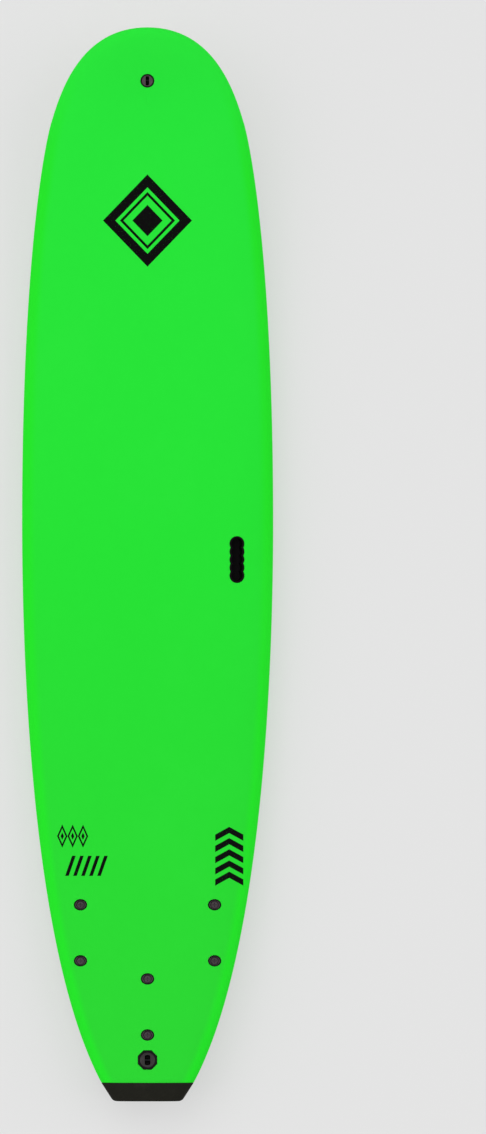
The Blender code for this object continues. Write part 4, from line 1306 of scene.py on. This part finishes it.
def deck_foam(cells, marks):
    """Matt bright green deck foam with its black prints."""
    made, shader, n, spot = new_finish("deck_foam_green_finish", shine=0.05)
    x, y = n.split(spot)
    along = from_nose(n, y)
    from_edge = skin_marks(n)[0]
    # The band along the rail is painted light on the rounded rail
    rail = n.all_of(n.scale(from_edge, *RAIL_BAND), n.scale(along, *RAIL_BAND_START))
    # The length ramp paints a highlight near the nose and shade towards the tail
    tone = n.mix(rail, n.ramp(along, DECK_TONES_WITH_PAINTED_LIGHT), RAIL_PAINTED_LIGHT_TONE)
    foam = n.group(cells, spot, Size=0.0011)
    wear = n.group(marks, spot, Patch=0.16)
    tone = n.tint(tone, DECK_SHADE, foam["Tone"], share=0.10)
    tone = n.tint(tone, DECK_RUBBED, wear["Patches"], share=0.05)
    tone = n.mix(n.scale(from_edge, DECK_LIP, 0.0, new_high=0.25), tone, DECK_RUBBED)

    prints = n.any_of(
        nested_diamonds(n, x, y, FRONT_MOTIF),
        diamond_row(n, x, y, SIDE_MOTIF, count=3),
        slant_bars(n, x, y, SIDE_BARS, count=5, lean=0.35, fill=0.45),
        chevrons(n, x, y, TAIL_CHEVRONS, count=5, slope=0.55, fill=0.56),
    )
    covered = n.scale(n.noise(spot, 0.0009, detail=2.0), 0.70, 0.78, 1.0, 0.0)
    ink = n.all_of(prints, covered)
    smooth = n.plus(n.times(ink, 0.10), n.times(foam["Tone"], 0.08))
    rough = n.minus(n.plus(n.times(wear["Patches"], 0.08), 0.66), smooth)
    height = n.minus(foam["Height"], n.times(wear["Scratches"], 0.4))
    surface(n, shader, n.mix(ink, tone, INK), rough, height, depth=0.00012, strength=0.55)
    return made


def ripple_disc(n, x, y, middle, radius):
    """A disc cut into rings."""
    far = n.distance(*centred(n, x, y, middle))
    return n.all_of(n.below(far, radius), n.below(n.repeat(far, radius / 4), 0.78))


def half_disc(n, x, y, middle, radius, side):
    """Half a disc inside a half ring."""
    x, y = centred(n, x, y, middle)
    far = n.distance(x, y)
    arch = n.any_of(n.below(far, radius * 0.62), n.between(far, radius * 0.76, radius))
    return n.all_of(arch, n.below(0.0, n.times(y, side)))


def dot_field(n, x, y, middle, radius, pitch):
    """Round dots in a round patch."""
    x, y = centred(n, x, y, middle)
    dot = n.distance(*(n.minus(n.repeat(way, pitch), 0.5) for way in (x, y)))
    return n.all_of(n.below(n.distance(x, y), radius), n.below(dot, 0.30))


def spark(n, x, y, middle):
    """A small solid diamond."""
    return n.below(diamond_share(n, *centred(n, x, y, middle), YELLOW_SPARK, YELLOW_SPARK), 1.0)


def bottom_print_and_shade_group():
    """The printed bottom: mint that deepens to olive towards the tail, with plain shapes in green, yellow,
    coral and sky. The deepening towards the tail, on the ground and on the shapes alike, is painted shade.
    """
    n, given, result = new_group("bottom_print_with_painted_shade", {}, ["Color"], "Color")
    x, y = n.split(given["Vector"])
    along = from_nose(n, y)
    haze = n.scale(n.noise(given["Vector"], 0.22), 0.40, 0.75, new_high=0.22)
    colour = n.mix(haze, n.ramp(along, PRINT_TONES_WITH_PAINTED_SHADE), PRINT_HAZE)
    layers = (
        ([dot_field(n, x, y, *dots, SKY_DOT_PITCH) for dots in SKY_DOTS], SKY_TONES),
        ([ripple_disc(n, x, y, *disc) for disc in GREEN_DISCS], GREEN_TONES),
        ([half_disc(n, x, y, *half) for half in CORAL_HALVES], CORAL_TONES),
        ([spark(n, x, y, middle) for middle in YELLOW_SPARKS], YELLOW_TONES),
        ([chevrons(n, x, y, place, count=4, slope=0.5, fill=0.5) for place in PLUM_ARROWS], PLUM_TONES),
    )
    for shapes, (near_nose, shaded_near_tail) in layers:
        # Each ink darkens towards the tail with painted shade
        ink = n.mix(along, near_nose, shaded_near_tail)
        colour = n.tint(colour, ink, n.any_of(*shapes), share=0.86)
    n.put(result["Color"], colour)
    return n.tree


def slick_sheet(pattern, marks):
    """Glossy bottom sheet with the print showing through, bare along its border."""
    made, shader, n, spot = new_finish("slick_bottom_finish", Coat_Weight=0.5, Coat_Roughness=0.06)
    # The print's darkening towards the tail is painted shade
    printed = n.group(pattern, spot)["Color"]
    from_edge, back = skin_marks(n)
    colour = n.mix(n.below(from_edge, PALE_BORDER), printed, BORDER_TONE)
    seam = n.below(n.size(n.minus(back, FILM_SEAM_BACK)), FILM_SEAM)
    colour = n.tint(colour, PRINT_AFT, n.below(FILM_SEAM_BACK, back), share=0.06)
    colour = n.tint(colour, SEAM_TONE, seam, share=0.35)
    wear = n.group(marks, spot, Patch=0.10)
    colour = n.tint(colour, SCRATCH_TONE, wear["Scratches"], share=0.12)
    rough = n.plus(n.times(wear["Patches"], 0.10), n.times(wear["Scratches"], 0.20), 0.16)
    peel = n.noise(spot, 0.006, detail=2.0)
    height = n.minus(peel, n.plus(n.times(wear["Scratches"], 0.3), seam))
    surface(n, shader, colour, rough, height, depth=0.00008, strength=0.5)
    return made


def printed_film(pattern):
    """The film that carries the print, a little uneven where it was rolled on."""
    made, shader, n, spot = new_finish("printed_film_finish")
    rolled = n.noise(spot, 0.004, stretch=(1.0, 0.3, 1.0))
    rough = n.scale(rolled, 0.3, 0.7, 0.38, 0.50)
    surface(n, shader, n.group(pattern, spot)["Color"], rough, rolled, depth=0.00003)
    return made


def moulded(name, grain, marks, dark, light, roughness, shine, size, depth):
    """Moulded plastic or rubber: pebbled grain of a size and depth, rubbed patches and fine scratches."""
    made, shader, n, spot = new_finish(name, shine)
    pebbles = n.group(grain, spot, Size=size)
    wear = n.group(marks, spot, Patch=0.03)
    rubbed = n.plus(n.times(pebbles["Tone"], 0.5), n.times(wear["Patches"], 0.3))
    rough = n.minus(roughness, n.times(wear["Patches"], 0.10))
    height = n.minus(pebbles["Height"], n.times(wear["Scratches"], 0.3))
    surface(n, shader, n.mix(rubbed, dark, light), rough, height, depth, strength=0.6)
    return made


def dark_steel(marks):
    """Steel darkened with painted shade of the deep slots it lies in, brushed across and worn a little
    brighter.
    """
    made, shader, n, spot = new_finish("pin_steel_finish", Metallic=1.0)
    brushed = n.noise(spot, 0.0004, detail=2.0, roughness=0.5, stretch=(0.05, 1.0, 1.0))
    wear = n.group(marks, spot, Patch=0.01)
    colour = n.tint(n.mix(brushed, *SHADED_STEEL_TONES), STEEL_RUBBED, wear["Patches"], share=0.3)
    rough = n.plus(n.times(brushed, 0.16), 0.20)
    surface(n, shader, colour, rough, brushed, depth=0.00002, strength=0.5)
    return made


def bead_foam():
    """White core of fused foam beads."""
    made, shader, n, spot = new_finish("core_foam_finish", shine=0.3)
    bead = n.scale(n.cells(spot, BEAD_SIZE, "DISTANCE_TO_EDGE"), 0.0, 0.14)
    colour = n.mix(bead, BEAD_JOINT, n.mix(n.noise(spot, 0.05), *BEAD_TONES))
    surface(n, shader, colour, n.minus(0.92, n.times(bead, 0.14)), bead, depth=0.0003, strength=0.6)
    return made


def sheet_foam(cells):
    """White closed-cell sheet under the print."""
    made, shader, n, spot = new_finish("bottom_foam_finish", shine=0.3)
    foam = n.group(cells, spot, Size=0.0009)
    rough = n.minus(0.80, n.times(foam["Tone"], 0.12))
    surface(n, shader, n.mix(foam["Tone"], *SHEET_TONES), rough, foam["Height"], depth=0.0001, strength=0.5)
    return made


def plywood():
    """Birch plywood with its grain along the board and darker glue lines between plies."""
    made, shader, n, spot = new_finish("stringer_plywood_finish", shine=0.35)
    across = n.split(spot)[0]
    grain = n.noise(spot, 0.0025, detail=5.0, roughness=0.65, stretch=(1.0, 0.025, 1.0))
    figure = n.noise(spot, 0.02, roughness=0.5, stretch=(1.0, 0.08, 1.0))
    wood = n.mix(n.scale(figure, 0.45, 0.75, new_high=0.5), n.mix(grain, *WOOD_TONES), WOOD_FIGURE)
    glue = n.scale(n.size(n.minus(n.repeat(across, PLY), 0.5)), 0.42, 0.49, new_high=0.5)
    rough = n.scale(grain, 0.3, 0.7, 0.50, 0.66)
    surface(n, shader, n.mix(glue, wood, PLY_GLUE), rough, grain, depth=0.00015, strength=0.5)
    return made


# Stage, light and camera


def seen_directly(n):
    """1 for what the camera sees, also in a reflection or through something clear."""
    path = n.add("LightPath").outputs
    return n.any_of(path["Is Camera Ray"], path["Is Glossy Ray"], path["Is Transmission Ray"])


def make_floor():
    """A plain pale floor. The camera sees part of its colour unshaded, so that the shadow stays faint."""
    deselect()
    bpy.ops.mesh.primitive_plane_add(size=FLOOR_SIZE, location=(0, 0, -FLOOR_DROP))
    floor = named("floor")
    made = bpy.data.materials.new("pale_floor")
    made.use_nodes = True
    made.node_tree.nodes.remove(made.node_tree.nodes["Principled BSDF"])
    n = Nodes(made.node_tree)
    matt = n.add("BsdfDiffuse", {"Color": FLOOR_TONE})
    plain = n.add("Emission", {"Color": FLOOR_TONE, "Strength": 1.0})
    reach = n.distance(*n.split(n.add("TexCoord").outputs["Object"]))
    unshaded = n.scale(reach, *FLOOR_SHADOW_REACH, FLOOR_UNSHADED, 1.0)
    seen = n.times(seen_directly(n), unshaded)
    both = n.add("MixShader", {0: seen, 1: matt.outputs[0], 2: plain.outputs[0]})
    n.put(made.node_tree.nodes["Material Output"].inputs["Surface"], both.outputs[0])
    floor.data.materials.append(made)


def make_world():
    """Even light from all round; seen directly it has the floor's colour."""
    world = bpy.data.worlds.new("soft_studio")
    bpy.context.scene.world = world
    world.use_nodes = True
    n = Nodes(world.node_tree)
    light = world.node_tree.nodes["Background"]
    light.inputs["Color"].default_value = (1, 1, 1, 1)
    light.inputs["Strength"].default_value = WORLD_STRENGTH
    seen = n.add("Background", {"Color": FLOOR_TONE, "Strength": 1.0})
    both = n.add("MixShader", {0: seen_directly(n), 1: light.outputs[0], 2: seen.outputs[0]})
    n.put(world.node_tree.nodes["World Output"].inputs["Surface"], both.outputs[0])


def add_soft_lamp(name, azimuth, elevation, share):
    """A wide soft lamp far away, which gives the deck this share of plain white light."""
    data = bpy.data.lights.new(name, "SUN")
    data.angle = math.radians(LAMP_WIDTH)
    data.energy = share * math.pi / math.sin(math.radians(elevation))
    lamp = bpy.data.objects.new(name, data)
    bpy.context.scene.collection.objects.link(lamp)
    lamp.rotation_euler = (math.radians(90 - elevation), 0, math.radians(azimuth + 90))


def make_camera():
    """Straight above, with the image's up to the nose and the board in the left half, as photographed."""
    scale = LENGTH / BOARD_PIXELS
    data = bpy.data.cameras.new("camera")
    data.lens = LENS
    data.sensor_width = SENSOR
    data.clip_end = CAMERA_REACH
    camera = bpy.data.objects.new("camera", data)
    bpy.context.scene.collection.objects.link(camera)
    distance = IMAGE_HEIGHT * scale * LENS / SENSOR
    across = (IMAGE_WIDTH / 2 - CENTRELINE_PIXEL) * scale
    along = (NOSE_TIP_PIXEL + BOARD_PIXELS / 2 - IMAGE_HEIGHT / 2) * scale
    camera.location = (across, along, RAIL_HEIGHT + distance)
    bpy.context.scene.camera = camera


def finish_inside(cells, pattern):
    """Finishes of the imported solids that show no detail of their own, inside the board."""
    core, plies = bead_foam(), plywood()
    inside = {
        "core_left": core,
        "core_centre": core,
        "core_right": core,
        "bottom_foam": sheet_foam(cells),
        "bottom_print": printed_film(pattern),
        "stringer_left": plies,
        "stringer_right": plies,
    }
    for node, finish in inside.items():
        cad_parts[node].material_slots[0].material = finish


def main():
    grain, marks, cells = moulded_grain_group(), handling_group(), closed_cell_group()
    pattern = bottom_print_and_shade_group()
    plastic = {name: moulded(name + "_finish", grain, marks, *values) for name, values in MOULDED.items()}
    steel = dark_steel(marks)

    make_deck_skin(deck_foam(cells, marks))
    make_slick_skin(slick_sheet(pattern, marks))
    make_bumper(plastic["bumper_rubber"])
    make_fin_plugs(plastic["plug_black"], plastic["screw_grey"])
    make_leash_plug(plastic["plug_black"], plastic["leash_dish"], steel)
    make_nose_plug(plastic["plug_black"], plastic["dish_grey"], steel)
    make_hand_grip(plastic["grip_black"])
    finish_inside(cells, pattern)

    make_floor()
    make_world()
    for lamp in LAMPS:
        add_soft_lamp(*lamp)
    make_camera()
    bpy.context.scene.view_settings.view_transform = "Standard"


main()
